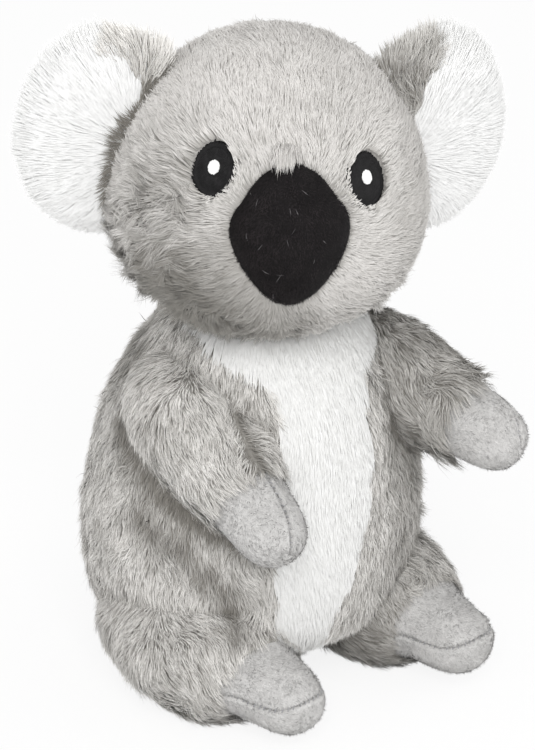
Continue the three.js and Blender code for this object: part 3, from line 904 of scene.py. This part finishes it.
def body_tones(roots, facing, limbs, head):
    """The shade of the body's grey pile at each root: mottled, with painted shade on the left front flank, beside
    the limbs, under the right arm, in the hollow by the right arm and under the head.
    """
    (size, strength), (fine_size, fine_strength) = BODY_PATCHES
    tone = BODY_TONE + strength * noise(roots, size, 41)
    tone = tone + fine_strength * noise(roots * np.array(STREAK), fine_size, 42)
    tone += TONE_LIFT - growing(*LEFT_FLANK_SHADE_FADE, roots[:, 0]) * (facing[:, 1] < 0)
    for limb in limbs.values():
        tone -= fading(*LIMB_SHADE_FADE, limb.height(roots))
    # Painted shadow under the right arm
    arm = limbs["arm_right"]
    level = arm.origin[2] + arm.axes[2][2] * arm.local(roots)[:, 2]
    under_arm_shadow = growing(*UNDER_ARM_SHADOW_FADE, level - roots[:, 2])
    tone -= under_arm_shadow * fading(*UNDER_ARM_SHADOW_REACH, arm.height(roots))
    tone -= HOLLOW_SHADE * hollow_share(roots) + fading(*UNDER_HEAD_SHADOW_FADE, head.height(roots))
    return tone


def make_belly_panel(form):
    place, angle, threes, fours = form.grid(200, 140)
    points, facing = form.surface(place, angle, UNDER_WHITE_OUT)
    points = above_floor(stuffed(points, facing, LUMPS, 3))
    used, faces = cut_out(points, [threes, fours], belly_reach(points) > 0)
    belly = make_mesh("belly_panel_cloth", front_lifted(points)[used], faces, WHITE_BACKING)
    own(belly, "torso", ["belly_panel"])


def make_body(form, limbs, head):
    rng = np.random.default_rng(101)
    skin = skin_piece("body_skin_cloth", form, BACKING_OUT, GREY_BACKING, seed=3, bend=front_lifted)
    own(skin, "torso", ["body_skin", "body_stuffing"])
    make_belly_panel(form)

    roots, facing = scatter(form, BACKING_OUT, PILE_DENSITY, rng)
    shown = ~head.inside(roots, -NECK_BARE)
    roots, facing = roots[shown], facing[shown]
    white = belly_reach(roots) + noise(roots, BELLY_EDGE_PATCH, 21) * BELLY_EDGE_JITTER > 0
    outward = unit(roots * np.array([1, 1, 0]))
    flow = DOWN + 0.25 * outward + 0.25 * noise_vectors(roots, 22, 31)
    tones = body_tones(roots, facing, limbs, head)
    roots = front_lifted(roots)
    for title, here in quarters(roots[:, 0], facing[:, 1], "front"):
        here = here & ~white
        look = dict(BODY_LOOK, shade=tones[here])
        piece = hairs(f"body_pile_{title}", roots[here], facing[here], flow[here], look, GREY_PILE, rng)
        own(piece, "torso")
    roots = roots + facing * BELLY_PILE_RISE
    piece = hairs("belly_pile", roots[white], facing[white], flow[white], BELLY_LOOK, WHITE_PILE, rng)
    own(piece, "torso")


# Head


def eye_axes(side):
    """Across and outward directions of an eye, in the head's own axes."""
    a = math.radians(EYE_SLANTS[side] * side)
    return np.array([math.cos(a), math.sin(a)]), np.array([math.sin(a), -math.cos(a)])


def eye_surface(head, side, across, rise, out):
    """Points on the face at those distances from an eye's middle, out above the stuffing."""
    ways, forward = eye_axes(side)
    z = EYE_RISES[side] + rise
    wide, deep = head.halves(head.share(z))
    wide, deep = wide + out, deep + out
    fx, fy = forward[0] / wide, forward[1] / deep
    px, py = across * ways[0] / wide, across * ways[1] / deep
    a, b, c = fx**2 + fy**2, 2 * (px * fx + py * fy), px**2 + py**2 - 1
    s = (-b + np.sqrt(np.maximum(b * b - 4 * a * c, 0))) / (2 * a)
    x, y = across * ways[0] + s * forward[0], across * ways[1] + s * forward[1]
    return head.world(np.stack([x, y, z + 0 * across], -1))


def eye_reach(head, points, side):
    """How far outside an eye's rim each point lies, as a share of its half size: -1 at its middle."""
    local = head.local(points)
    ways, forward = eye_axes(side)
    across = local[:, :2] @ ways
    ahead = local[:, :2] @ forward
    far = np.hypot(across / (EYE_WIDTH / 2), (local[:, 2] - EYE_RISES[side]) / (EYE_HEIGHT / 2)) - 1
    return np.where(ahead > 0, far, 9.0)


def thread_mesh(surface, starts, ends, width, height, out, segments=5):
    """Points and faces of flattened threads laid from starts to ends on a surface of two coordinates."""
    s = np.linspace(0, 1, segments + 1)
    way = ends - starts
    beside = unit(np.stack([-way[:, 1], way[:, 0]], 1))
    profile = (4 * s * (1 - s) + 0.02) ** 0.35
    rows = []
    for shift, tall in THREAD_ROUND:
        at = starts[:, None] + way[:, None] * s[:, None] + beside[:, None] * (shift * width / 2)
        flat = at.reshape(-1, 2)
        lift = np.tile(out + tall * height * profile - (1 - profile) * THREAD_END_SINK, len(starts))
        rows.append(surface(flat[:, 0], flat[:, 1], lift).reshape(len(starts), segments + 1, 3))
    points = np.stack(rows, 2)
    count, lines, strands = len(starts), segments + 1, len(THREAD_ROUND)
    index = np.arange(count * lines * strands).reshape(count, lines, strands)
    faces = np.stack([index[:, :-1, :-1], index[:, :-1, 1:], index[:, 1:, 1:], index[:, 1:, :-1]], -1)
    return points.reshape(-1, 3), faces.reshape(-1, 4)


def oval_patch(surface, half_wide, half_tall, out, rings=10, around=48):
    """Points and faces of an oval of cloth under the threads."""
    radius = np.linspace(0.02, 1, rings)
    angle = 2 * np.pi * np.arange(around) / around
    across = np.outer(radius, np.cos(angle)).ravel() * half_wide
    rise = np.outer(radius, np.sin(angle)).ravel() * half_tall
    edge = np.repeat(np.where(radius > 0.97, out - PATCH_EDGE_SINK, out), around)
    points = surface(across, rise, edge)
    index = np.arange(rings * around).reshape(rings, around)
    nxt = np.roll(index, -1, 1)
    faces = np.stack([index[:-1], index[1:], nxt[1:], nxt[:-1]], -1).reshape(-1, 4)
    return points, faces, index[0][::-1][None]


def rim_threads(half_wide, half_tall, inner, pitch, rng):
    """Starts and ends of the stitches that stand across an oval's rim."""
    around = int(np.pi * (half_wide + half_tall) / pitch)
    angle = 2 * np.pi * np.arange(around) / around
    rim = np.stack([np.cos(angle) * half_wide, np.sin(angle) * half_tall], 1)
    outer = 1 + 0.03 * rng.standard_normal((around, 1))
    shifted = angle + 0.12
    start = np.stack([np.cos(shifted) * half_wide, np.sin(shifted) * half_tall], 1) * inner
    return start, rim * outer


def fill_threads(half_wide, half_tall, slant, pitch, rng):
    """Starts and ends of the side by side stitches that fill an oval."""
    way = np.array([math.cos(slant), math.sin(slant)])
    beside = np.array([-way[1], way[0]])
    starts, ends = [], []
    reach = max(half_wide, half_tall)
    for shift in np.arange(-reach, reach, pitch):
        # where the line beside * shift + way * t crosses the oval
        a = (way[0] / half_wide) ** 2 + (way[1] / half_tall) ** 2
        b = 2 * shift * (way[0] * beside[0] / half_wide**2 + way[1] * beside[1] / half_tall**2)
        c = shift**2 * ((beside[0] / half_wide) ** 2 + (beside[1] / half_tall) ** 2) - 1
        if b * b - 4 * a * c <= 0:
            continue
        low = (-b - math.sqrt(b * b - 4 * a * c)) / (2 * a)
        high = (-b + math.sqrt(b * b - 4 * a * c)) / (2 * a)
        cuts = [low]
        while cuts[-1] < high - STITCH_SHORTEST:
            cuts.append(min(high, cuts[-1] + STITCH_LENGTH + rng.random() * STITCH_LENGTH_SPREAD))
        for one, two in zip(cuts[:-1], cuts[1:]):
            starts.append(beside * shift + way * one)
            ends.append(beside * shift + way * two)
    return np.array(starts), np.array(ends)


def stitched_oval(name, head, side, size, rise, out, slant, inner, material, seed):
    """An embroidered oval: cloth, side by side stitches and a rim of short stitches from inner outwards."""
    rng = np.random.default_rng(seed)
    wide, tall = size[0] / 2, size[1] / 2

    def surface(across, up, height):
        return eye_surface(head, side, across, rise + up, height)

    points, faces, cap = oval_patch(surface, wide * 0.98, tall * 0.98, out)
    start, end = fill_threads(wide * inner * 1.02, tall * inner * 1.02, slant, STITCH_WIDTH * 0.9, rng)
    fill_points, fill_faces = thread_mesh(surface, start, end, STITCH_WIDTH, STITCH_HEIGHT, out)
    start, end = rim_threads(wide, tall, inner, STITCH_WIDTH * 0.88, rng)
    rim_points, rim_faces = thread_mesh(surface, start, end, STITCH_WIDTH, STITCH_HEIGHT * 1.3, out + 0.05)
    all_points = np.concatenate([points, fill_points, rim_points])
    before_rim = len(points) + len(fill_points)
    all_faces = [np.concatenate([faces, fill_faces + len(points), rim_faces + before_rim]), cap]
    return make_mesh(name, all_points, all_faces, material)


def make_eye(head, name, side):
    size, out = (EYE_WIDTH, EYE_HEIGHT), EYE_OUT
    eye = stitched_oval(f"eye_{name}_stitching", head, side, size, 0, out, 1.0, 0.78, BLACK_THREAD, 7)
    own(eye, "head", [f"eye_{name}"])
    size, out = (GLINT_WIDTH, GLINT_HEIGHT), out + (STITCH_HEIGHT + GLINT_GAP)
    title = f"eye_glint_{name}_stitching"
    glint = stitched_oval(title, head, side, size, GLINT_RISE, out, 0.2, 0.55, WHITE_THREAD, 8)
    own(glint, "head", [f"eye_glint_{name}"])


def make_nose(form, head):
    rng = np.random.default_rng(301)
    cover = skin_piece("nose_velour", form, 0.0, BLACK_VELOUR, (96, 72), 0.25, 5)
    own(cover, "head", ["nose_cover", "nose_padding"])
    roots, facing = scatter(form, 0.0, NOSE_DENSITY, rng)
    shown = ~head.inside(roots, PILE_OUT - 2)
    roots, facing = roots[shown], facing[shown]
    flow = -HEAD_AXES[2] + 0.8 * noise_vectors(roots, 6, 51)
    shade = 0.25 + 0.2 * noise(roots, 3, 52)
    fuzz = nap("nose_nap", roots, facing, flow, 0.9, 0.2, shade, 0.0, BLACK_NAP, rng)
    own(fuzz, "head")
    picked = rng.choice(len(roots), NOSE_LINT_COUNT, replace=False)
    lint = hairs("nose_lint", roots[picked], facing[picked], flow[picked], LINT_LOOK, LINT, rng)
    own(lint, "head")


def nose_top_tuft(head, rng):
    """Roots, facings and flow of the small tuft that falls over the top of the nose."""
    across = NOSE_TUFT_PLACE[0] + rng.standard_normal(NOSE_TUFT_COUNT) * NOSE_TUFT_SPREAD
    rise = NOSE_TUFT_PLACE[1] + (rng.random(NOSE_TUFT_COUNT) - 0.3) * NOSE_TUFT_TALL
    place = head.share(rise)
    angle = across / head.halves(place)[0] - math.pi / 2
    roots, facing = head.surface(place, angle, BACKING_OUT + 0.8)
    return roots, facing, np.tile(-HEAD_AXES[2], (NOSE_TUFT_COUNT, 1))


def short_of_eyes(length, head, roots, flow):
    """Lengths of the hairs, of which those that point at an eye are cut to end at its rim."""
    for side in (1, -1):
        middle = eye_surface(head, side, np.zeros(1), np.zeros(1), BACKING_OUT)
        towards = dot(unit(middle - roots), unit(flow))[:, 0]
        limit = np.maximum(eye_reach(head, roots, side) * EYE_WIDTH / 2 + 0.8, 1.4)
        length = np.where(towards > 0.2, np.minimum(length, limit), length)
    return length


def make_head_pile(form, nose, torso, rng):
    """The head's pile. It is combed away from the muzzle, and is rougher and darker at one cheek and the chin,
    with painted shadow under that cheek beside the mouth.
    """
    roots, facing = scatter(form, BACKING_OUT, HEAD_DENSITY, rng)
    eyes = np.minimum(eye_reach(form, roots, 1), eye_reach(form, roots, -1))
    hidden = nose.inside(roots, -NOSE_BARE) | (eyes < EYE_BARE) | torso.inside(roots, -BODY_OVER_HEAD)
    roots, facing, eyes = roots[~hidden], facing[~hidden], eyes[~hidden]
    local = form.local(roots)
    muzzle = form.world(np.array([0, -HEAD_DEPTH / 2, MUZZLE_RISE]))
    away = roots - muzzle
    away = unit(away - facing * dot(away, facing))
    to_front = smooth_step(*FRONT_FADE, facing @ -HEAD_AXES[1])[:, None]
    flow = away * to_front + DOWN * (1 - to_front)
    flow += 0.25 * noise_vectors(roots, 14, 61)
    near = np.linalg.norm(roots - muzzle, axis=1)
    ways = (unit(np.array(way)) @ HEAD_AXES for way in (CHEEK_WAY, JOWL_SHADOW_WAY, TEMPLE_WAY))
    fades = (CHEEK_FADE, JOWL_SHADOW_FADE, TEMPLE_FADE)
    cheek, jowl_shadow, temple = (smooth_step(*fade, facing @ way) for way, fade in zip(ways, fades))
    chin = smooth_step(*CHIN_FADE, local[:, 2])
    back = 1 - to_front[:, 0]
    rough = np.clip(cheek + 0.6 * chin + 0.6 * jowl_shadow + 0.35 * back + 0.2, 0, 1) * smooth_step(12, 34, near)
    length = 4.9 + 0.8 * rough + 2.0 * cheek + 0.4 * chin
    length = length - growing(1.5, -26, -36, local[:, 2]) - fading(1.0, 16, 34, near)
    length = short_of_eyes(length, form, roots, flow)
    by_eye = fading(1, 0.0, 0.8, eyes)
    roots = roots + facing * (1.9 * by_eye)[:, None]
    length *= 1 - 0.3 * by_eye
    roots = roots + facing * (0.7 * (1 - rough))[:, None]
    # Painted shadow under the brushed cheek, beside the mouth
    tones = 0.88 - 0.25 * rough - 0.12 * cheek - 0.45 * jowl_shadow + 0.15 * temple
    tones = tones - growing(*HEAD_LEFT_FADE, local[:, 0])
    tones += (0.02 + 0.22 * rough) * (noise(roots, 7, 71) + noise(roots, 2.4, 72))
    for title, here in quarters(local[:, 0], local[:, 1], "face"):
        brushed = rough[here]
        look = dict(HEAD_LOOK, length=length[here], lift=0.1 + 0.26 * brushed, shade=tones[here])
        look.update(swirl=0.18 + 0.9 * brushed, gather=0.1 + 0.75 * brushed, spread=0.04 + 0.1 * brushed)
        look.update(flecks=0.02 + 0.1 * brushed)
        piece = hairs(f"head_pile_{title}", roots[here], facing[here], flow[here], look, HEAD_PILE, rng)
        own(piece, "head")
    tuft = hairs("head_pile_nose_tuft", *nose_top_tuft(form, rng), NOSE_TUFT_LOOK, HEAD_PILE, rng)
    own(tuft, "head")


def make_head(form, torso):
    nose = nose_form()
    skin = skin_piece("head_skin_cloth", form, HEAD_BACKING_OUT, PALE_BACKING, seed=4)
    own(skin, "head", ["head_skin", "head_stuffing"])
    make_nose(nose, form)
    for name, side in (("left", 1), ("right", -1)):
        make_eye(form, name, side)
    make_head_pile(form, nose, torso, np.random.default_rng(201))


# Ears


def ear_rim(form, local):
    """How near its rim each point of an ear lies: 0 at its middle, 1 at the rim."""
    return np.hypot(local[:, 0] / (EAR_TALL / 2), form.share(local[:, 2]) * 2 - 1)


def make_ear_cloth(form, name, side):
    place, angle, threes, fours = form.grid(120, 90)
    points, facing = form.surface(place, angle, EAR_BACKING_OUT)
    local = form.local(points)
    frontward = local[:, 1] * side
    in_front = (frontward > -0.4) | (ear_rim(form, local) > 0.93)
    rise = EAR_UNDER_WHITE_OUT - EAR_BACKING_OUT
    points = points + facing * growing(rise, -2, 1, frontward)[:, None]
    backs = [f"ear_back_{name}", f"ear_padding_{name}"]
    for title, wanted, material, slot, nodes in (
        ("front", in_front, WHITE_BACKING, "white_pile", [f"ear_front_{name}"]),
        ("back", ~in_front, GREY_BACKING, "grey_pile", backs),
    ):
        used, faces = cut_out(points, [threes, fours], wanted, 0.5)
        piece = make_mesh(f"ear_{title}_cloth_{name}", points[used], faces, material)
        own(piece, f"ear_{name}", nodes, "head")


def make_ear(name, side, head):
    """An ear. On its front, grey pile runs out to its edge's base from the fold, and further by slope above
    its start; past rim, towards the top, it is grey out to rim_out. tone is how much paler or darker it is
    than the rest of the grey, and the last how grey its pile is where it meets the head, and how much painted
    shade darkens that crease."""
    form, edge = ear_form(name, side), EAR_GREY_EDGES[name]
    rng = np.random.default_rng(400 + side)
    make_ear_cloth(form, name, side)

    roots, facing = scatter(form, EAR_BACKING_OUT, HEAD_DENSITY, rng)
    hidden = head.inside(roots, -1)
    roots, facing = roots[~hidden], facing[~hidden]
    local = form.local(roots)
    x, y, z = local.T
    jagged = noise(roots, 4, 81) * 1.4
    rim = ear_rim(form, local)
    behind = (y * side < -1.5) & (rim < 0.9 + 0.03 * jagged)
    panel_way = form.axes[1] * np.where(behind, -side, side)[:, None]
    facing = unit(facing + panel_way * smooth_step(0.65, 0.95, rim)[:, None])
    roots = roots + facing * growing(0.8, -2, 1, y * side)[:, None]
    grey = (z < edge["base"] + edge["slope"] * np.maximum(x - edge["start"], 0) + jagged) | behind
    grey |= (x > edge["rim"] + jagged) & (z < edge["rim_out"])
    above = head.height(roots) + jagged * 0.6 - PILE_OUT - growing(1.6, -26, -6, x)
    # Where the ear meets the head its pile is grey, and darkened with painted shade in the crease
    shaded_crease = fading(edge["shaded_crease"], -1.4, 1.0, above)
    grey |= shaded_crease > 0.5
    length = 6.4 - growing(2.0, 0.7, 1.0, rim) - 2.4 * shaded_crease + growing(1.6, 8, 22, x)
    length = np.where(behind, np.minimum(length, 0.6 + (1 - rim) * EAR_TALL / 2), length)
    flow = unit(roots - form.world(np.array([-2.0, 0, -6.0]))) + 0.25 * noise_vectors(roots, 10, 82)
    tones = 0.7 + edge["tone"] + 0.14 * noise(roots, 5, 83) + 0.1 * noise(roots, 2, 84)
    tones -= shaded_crease * (0.35 + growing(0.75, -26, -8, x))
    tones += growing(0.2, 17, 26, x)
    for title, here, material, slot, look in (
        ("front", ~grey, WHITE_PILE, "white_pile", dict(EAR_FRONT_LOOK, length=length[~grey])),
        ("back", grey, GREY_PILE, "grey_pile", dict(EAR_BACK_LOOK, length=length[grey], shade=tones[grey])),
    ):
        pile = hairs(f"ear_{title}_pile_{name}", roots[here], facing[here], flow[here], look, material, rng)
        own(pile, f"ear_{name}", parent="head")


# Limbs


def seam_relief(from_seam):
    """How far velour sinks into a seam or rises beside it."""
    sunk = bump(from_seam, SEAM_HALF_WIDTH) * SEAM_DEPTH
    return bump(np.abs(from_seam) - SEAM_BANK_PLACE, SEAM_BANK_WIDTH) * SEAM_BANK - sunk


def hand_seam(aside):
    """How far beside its seam each point of a hand lies. The seam comes to the middle at the tip."""

    def beside(local):
        share = np.clip((local[:, 2] - ARM["cuff"]) / (ARM["length"] - ARM["cuff"]), 0, 1)
        return local[:, 0] - aside * (1 - share**2)

    return beside


def foot_seam(local):
    """How far above its seam, which rises over the toes, each point of a foot lies."""
    return local[:, 1] - FOOT_SEAM_RISE + FOOT_SEAM_DROP * (local[:, 0] / FOOT_HALF_WIDTH) ** 2


def seam_line(form, beside, plane, cuff, out):
    """Points along a seam over the end of a limb, from cuff to cuff, and the ways that the cloth faces there."""
    rise, turn = np.linspace(cuff, form.high - 0.3, 240), np.linspace(0, 2 * np.pi, 800, endpoint=False)
    place = np.repeat(form.share(rise), len(turn))
    points, facing = form.surface(place, np.tile(turn, len(rise)), out)
    local = form.local(points)
    near = np.abs(beside(local)) < SEAM_NEAR
    points, facing, local = points[near], facing[near], local[near]
    swing = np.mod(np.arctan2(local[:, 2] - cuff - 5, local[:, plane]) + math.pi / 2, 2 * math.pi)
    step = np.digitize(swing, np.linspace(swing.min(), swing.max(), 60))
    line = np.stack([points[step == k].mean(0) for k in np.unique(step)])
    return line, unit(np.stack([facing[step == k].mean(0) for k in np.unique(step)]))


def seam_stitches(name, line, ways, rng):
    """Short threads over a seam."""
    run = np.concatenate([[0], np.cumsum(np.linalg.norm(np.diff(line, axis=0), axis=1))])
    stitch = SEAM_STITCH

    def along(places, values):
        return np.stack([np.interp(places, run, values[:, k]) for k in range(3)], 1)

    def surface(places, across, lift):
        out = unit(along(places, ways))
        aside = unit(np.cross(out, along(places + 0.3, line) - along(places - 0.3, line)))
        return along(places, line) + aside * across[:, None] + out * np.reshape(lift, (-1, 1))

    places = np.arange(1, run[-1] - 1.5, STITCH_PITCH)
    places = places + stitch["jitter"] * rng.standard_normal(len(places))
    starts = np.stack([places, np.full(len(places), -stitch["reach"])], 1)
    ends = np.stack([places + stitch["slant"], np.full(len(places), stitch["reach"])], 1)
    points, faces = thread_mesh(surface, starts, ends, stitch["width"], stitch["height"], stitch["out"])
    return make_mesh(name, points, [faces], SEAM_THREAD)


def make_velour(kind, name, form, cuff, beside, plane, panels, flecks, seed, rng):
    """A hand or a foot: two velour panels, the seam between them with its stitches, and the nap."""
    body = f"{kind}_{name}"
    place, angle, threes, fours = form.grid(160, 160)
    points, facing = form.surface(place, angle, VELOUR_OUT)
    local = form.local(points)
    puckers = 1 + PUCKERS * np.sin((local[:, 2] + local[:, plane]) * PUCKER_PITCH)
    lumps = noise(points, VELOUR_LUMP_SIZE, seed + 1) * VELOUR_LUMPS
    points = above_floor(points + facing * (lumps + seam_relief(beside(local)) * puckers)[:, None])
    hand = local[:, 2] > cuff - 3.5
    for panel, sign in zip(panels, (1, -1)):
        wanted = hand & (beside(local) * sign > -SEAM_NEAR)
        used, faces = cut_out(points, [threes, fours], wanted, 0.5)
        piece = make_mesh(f"{panel}_velour_{name}", points[used], faces, GREY_VELOUR)
        own(piece, body, [f"{panel}_{name}"])
    line, ways = seam_line(form, beside, plane, cuff, VELOUR_OUT)
    own(seam_stitches(f"{kind}_seam_stitches_{name}", line, ways, rng), body)

    roots, facing = scatter(form, VELOUR_OUT, VELOUR_DENSITY, rng)
    local = form.local(roots)
    lumps = noise(roots, VELOUR_LUMP_SIZE, seed + 1) * VELOUR_LUMPS
    roots = above_floor(roots + facing * (lumps + seam_relief(beside(local)))[:, None])
    shown = (local[:, 2] > cuff - 3) & (np.abs(beside(local)) > SEAM_BARE)
    roots, facing = roots[shown], facing[shown]
    flow = form.axes[2] + 1.2 * noise_vectors(roots, 5, seed + 2)
    shade = 0.55 + (0.12 + flecks) * noise(roots, 4, seed + 3) + 0.12 * noise(roots, 1.2, seed + 8)
    fuzz = nap(f"{panels[0]}_nap_{name}", roots, facing, flow, 1.0, 0.26, shade, flecks, VELOUR_NAP, rng)
    own(fuzz, body)


def sleeve_pile(kind, name, form, cuff, sleeve_seam, torso, head, seed, rng):
    """The pile of a sleeve, on no body yet. On an arm it is parted along the sleeve's seam."""
    lie = PILE_LIES[f"{kind}_{name}"]
    roots, facing = scatter(form, LIMB_BACKING_OUT, PILE_DENSITY, rng)
    local = form.local(roots)
    hidden = (local[:, 2] > cuff - 2 + noise(roots, 4, seed + 4)) | torso.inside(roots, -0.5)
    hidden |= roots[:, 2] < 2 * FLOOR_CLEARANCE
    roots, facing, local = roots[~hidden], facing[~hidden], local[~hidden]
    out_along = smooth_step(0, 18, local[:, 2])[:, None]
    fall = growing(lie["fall"], -0.5, 0.3, facing[:, 2:])
    flow = form.axes[2] * out_along + DOWN * (1 - out_along + fall)
    flow += 0.3 * noise_vectors(roots, 14, seed + 5)
    outer = outer_share(form, roots, facing)
    roots = roots - facing * (lie["slim"] * outer)[:, None]
    # The tone of the far arm and leg is painted shade on the side away from the lamps
    tones = 0.73 + lie["tone"] + 0.12 * noise(roots, 6, seed + 6) + 0.12 * noise(roots, 2.4, seed + 7)
    tones += lie["aside"] * outer - LIMB_HOLLOW_SHADE * hollow_share(roots)
    # Painted shadow under the head
    tones -= fading(lie["shaded"], 3, 20, head.height(roots))
    length = 5.4 + growing(lie["cuff"], cuff - 9, cuff, local[:, 2])
    if sleeve_seam:
        from_seam = local[:, 0] - through(sleeve_seam, local[:, 2])
        from_seam = np.where(local[:, 1] > 0, from_seam, FAR)
        parted = bump(from_seam, 1.1) * (0.8 + 0.4 * noise(roots, 3, seed + 9))
        tones += growing(0.1, 1, 5, from_seam) * (from_seam < FAR) - 0.7 * parted
        length *= 1 - 0.45 * parted
        flow += form.axes[0] * (1.6 * np.sign(from_seam) * bump(from_seam, 4))[:, None]
    tousle = lie["tousle"]
    look = dict(GREY_LOOK, length=length, lift=0.28 + 0.1 * tousle, swirl=0.5 + 0.6 * tousle, shade=tones)
    look.update(gather=0.4 + 0.4 * tousle)
    return hairs(f"{kind}_pile_{name}", roots, facing, flow, look, GREY_PILE, rng)


def make_limb(kind, name, form, sizes, beside, plane, panels, sleeve_seam, torso, head, seed):
    """A sleeve with its pile, and the hand or foot at its end. beside gives how far points lie from the seam
    between the two panels, and plane is the axis across the limb in which that seam runs."""
    rng = np.random.default_rng(seed)
    cuff, root, lie = sizes["cuff"], sizes["root"], PILE_LIES[f"{kind}_{name}"]
    title, slim = f"{kind}_sleeve_cloth_{name}", lie["slim"]
    sleeve = skin_piece(title, form, LIMB_BACKING_OUT, GREY_BACKING, (80, 64), 0.4, seed, cuff, slim=slim)
    nodes = [f"{kind}_sleeve_{name}", f"{kind}_stuffing_{name}"]
    own(sleeve, f"{kind}_{name}", nodes, "torso")
    make_velour(kind, name, form, cuff, beside, plane, panels, lie["flecks"], seed, rng)
    pile = sleeve_pile(kind, name, form, cuff, sleeve_seam, torso, head, seed, rng)
    own(pile, f"{kind}_{name}", parent="torso")


# Stage


def camera_ray(tree):
    """A socket that is 1 for rays that show the backdrop as it is, straight on, in gloss or through glass."""
    path = add_node(tree, "LightPath")
    first, second = add_node(tree, "Math", operation="MAXIMUM"), add_node(tree, "Math", operation="MAXIMUM")
    tree.links.new(path.outputs["Is Camera Ray"], first.inputs[0])
    tree.links.new(path.outputs["Is Glossy Ray"], first.inputs[1])
    tree.links.new(first.outputs["Value"], second.inputs[0])
    tree.links.new(path.outputs["Is Transmission Ray"], second.inputs[1])
    return second.outputs["Value"]


def shader_mix(tree, share, first, second, end):
    """Mixes two shaders by a share into the end node."""
    mix = add_node(tree, "MixShader")
    for socket, target in zip((share, first, second), mix.inputs):
        tree.links.new(socket, target)
    tree.links.new(mix.outputs["Shader"], tree.nodes[end].inputs["Surface"])


def make_world(strength):
    """Soft white light from all round, which the camera sees as plain white."""
    world = bpy.data.worlds.new("studio")
    bpy.context.scene.world = world
    world.use_nodes = True
    tree = world.node_tree
    soft = tree.nodes["Background"]
    set_inputs(soft, Color=(1, 1, 1, 1), Strength=strength)
    white = add_node(tree, "Background")
    set_inputs(white, Color=(1, 1, 1, 1), Strength=1)
    shaders = soft.outputs["Background"], white.outputs["Background"]
    shader_mix(tree, camera_ray(tree), *shaders, "World Output")


def make_floor():
    """A pale floor that shows white where no shadow falls on it."""
    material = bpy.data.materials.new("studio_floor")
    material.use_nodes = True
    tree = material.node_tree
    shader = tree.nodes["Principled BSDF"]
    set_inputs(shader, Base_Color=(0.97, 0.97, 0.97, 1), Roughness=0.95, Specular_IOR_Level=0.1)
    glow = add_node(tree, "Emission")
    set_inputs(glow, Color=(1, 1, 1, 1), Strength=1)
    share = add_node(tree, "Math", operation="MULTIPLY")
    share.inputs[1].default_value = FLOOR_GLOW
    tree.links.new(camera_ray(tree), share.inputs[0])
    shaders = shader.outputs["BSDF"], glow.outputs["Emission"]
    shader_mix(tree, share.outputs["Value"], *shaders, "Material Output")
    signs = np.array([[-1, -1, 0], [1, -1, 0], [1, 1, 0], [-1, 1, 0]], float)
    floor = make_mesh("studio_floor", signs * FLOOR_HALF, [np.array([[0, 1, 2, 3]])], material)


def make_lamp(name, place, size, watts):
    """A square soft lamp that looks at the koala."""
    data = bpy.data.lights.new(name, "AREA")
    data.shape = "SQUARE"
    data.size = size
    data.energy = watts
    lamp = bpy.data.objects.new(name, data)
    lamp.location = place
    aim = Vector(LAMP_AIM) - lamp.location
    lamp.rotation_euler = aim.to_track_quat("-Z", "Y").to_euler()
    bpy.context.scene.collection.objects.link(lamp)


def make_camera():
    data = bpy.data.cameras.new("camera")
    data.lens = CAMERA_LENS
    data.sensor_width = 36
    data.clip_start, data.clip_end = 0.01, 20
    camera = bpy.data.objects.new("camera", data)
    camera.location = Vector(CAMERA_PLACE) * MM
    camera.rotation_euler = (math.radians(90 - CAMERA_ELEVATION), 0, math.radians(CAMERA_AZIMUTH))
    bpy.context.scene.collection.objects.link(camera)
    bpy.context.scene.camera = camera


limbs = {}
for name, aim in ARM_AIMS.items():
    limbs[f"arm_{name}"] = limb_form(joint(f"shoulder_swing_{name}"), aim, ARM, ARM_SHARES)
for name, aim in LEG_AIMS.items():
    limbs[f"leg_{name}"] = limb_form(joint(f"hip_swing_{name}"), aim, LEG, LEG_SHARES)
torso, head = body_form(), head_form()
make_body(torso, limbs, head)
make_head(head, torso)
for name, side in (("left", 1), ("right", -1)):
    make_ear(name, side, head)
for name, side in (("left", 1), ("right", -1)):
    palms = ("hand_back", "hand_palm") if side > 0 else ("hand_palm", "hand_back")
    seam = hand_seam(HAND_SEAM_ASIDE[name])
    arm, leg = limbs[f"arm_{name}"], limbs[f"leg_{name}"]
    make_limb("arm", name, arm, ARM, seam, 1, palms, SLEEVE_SEAMS[name], torso, head, 500 + side * 10)
    soles = ("foot_upper", "foot_sole")
    make_limb("leg", name, leg, LEG, foot_seam, 0, soles, None, torso, head, 600 + side * 10)

make_world(WORLD_STRENGTH)
make_floor()
for name, (place, size, watts) in LAMPS.items():
    make_lamp(name, place, size, watts)
make_camera()
bpy.context.scene.view_settings.view_transform = "Standard"
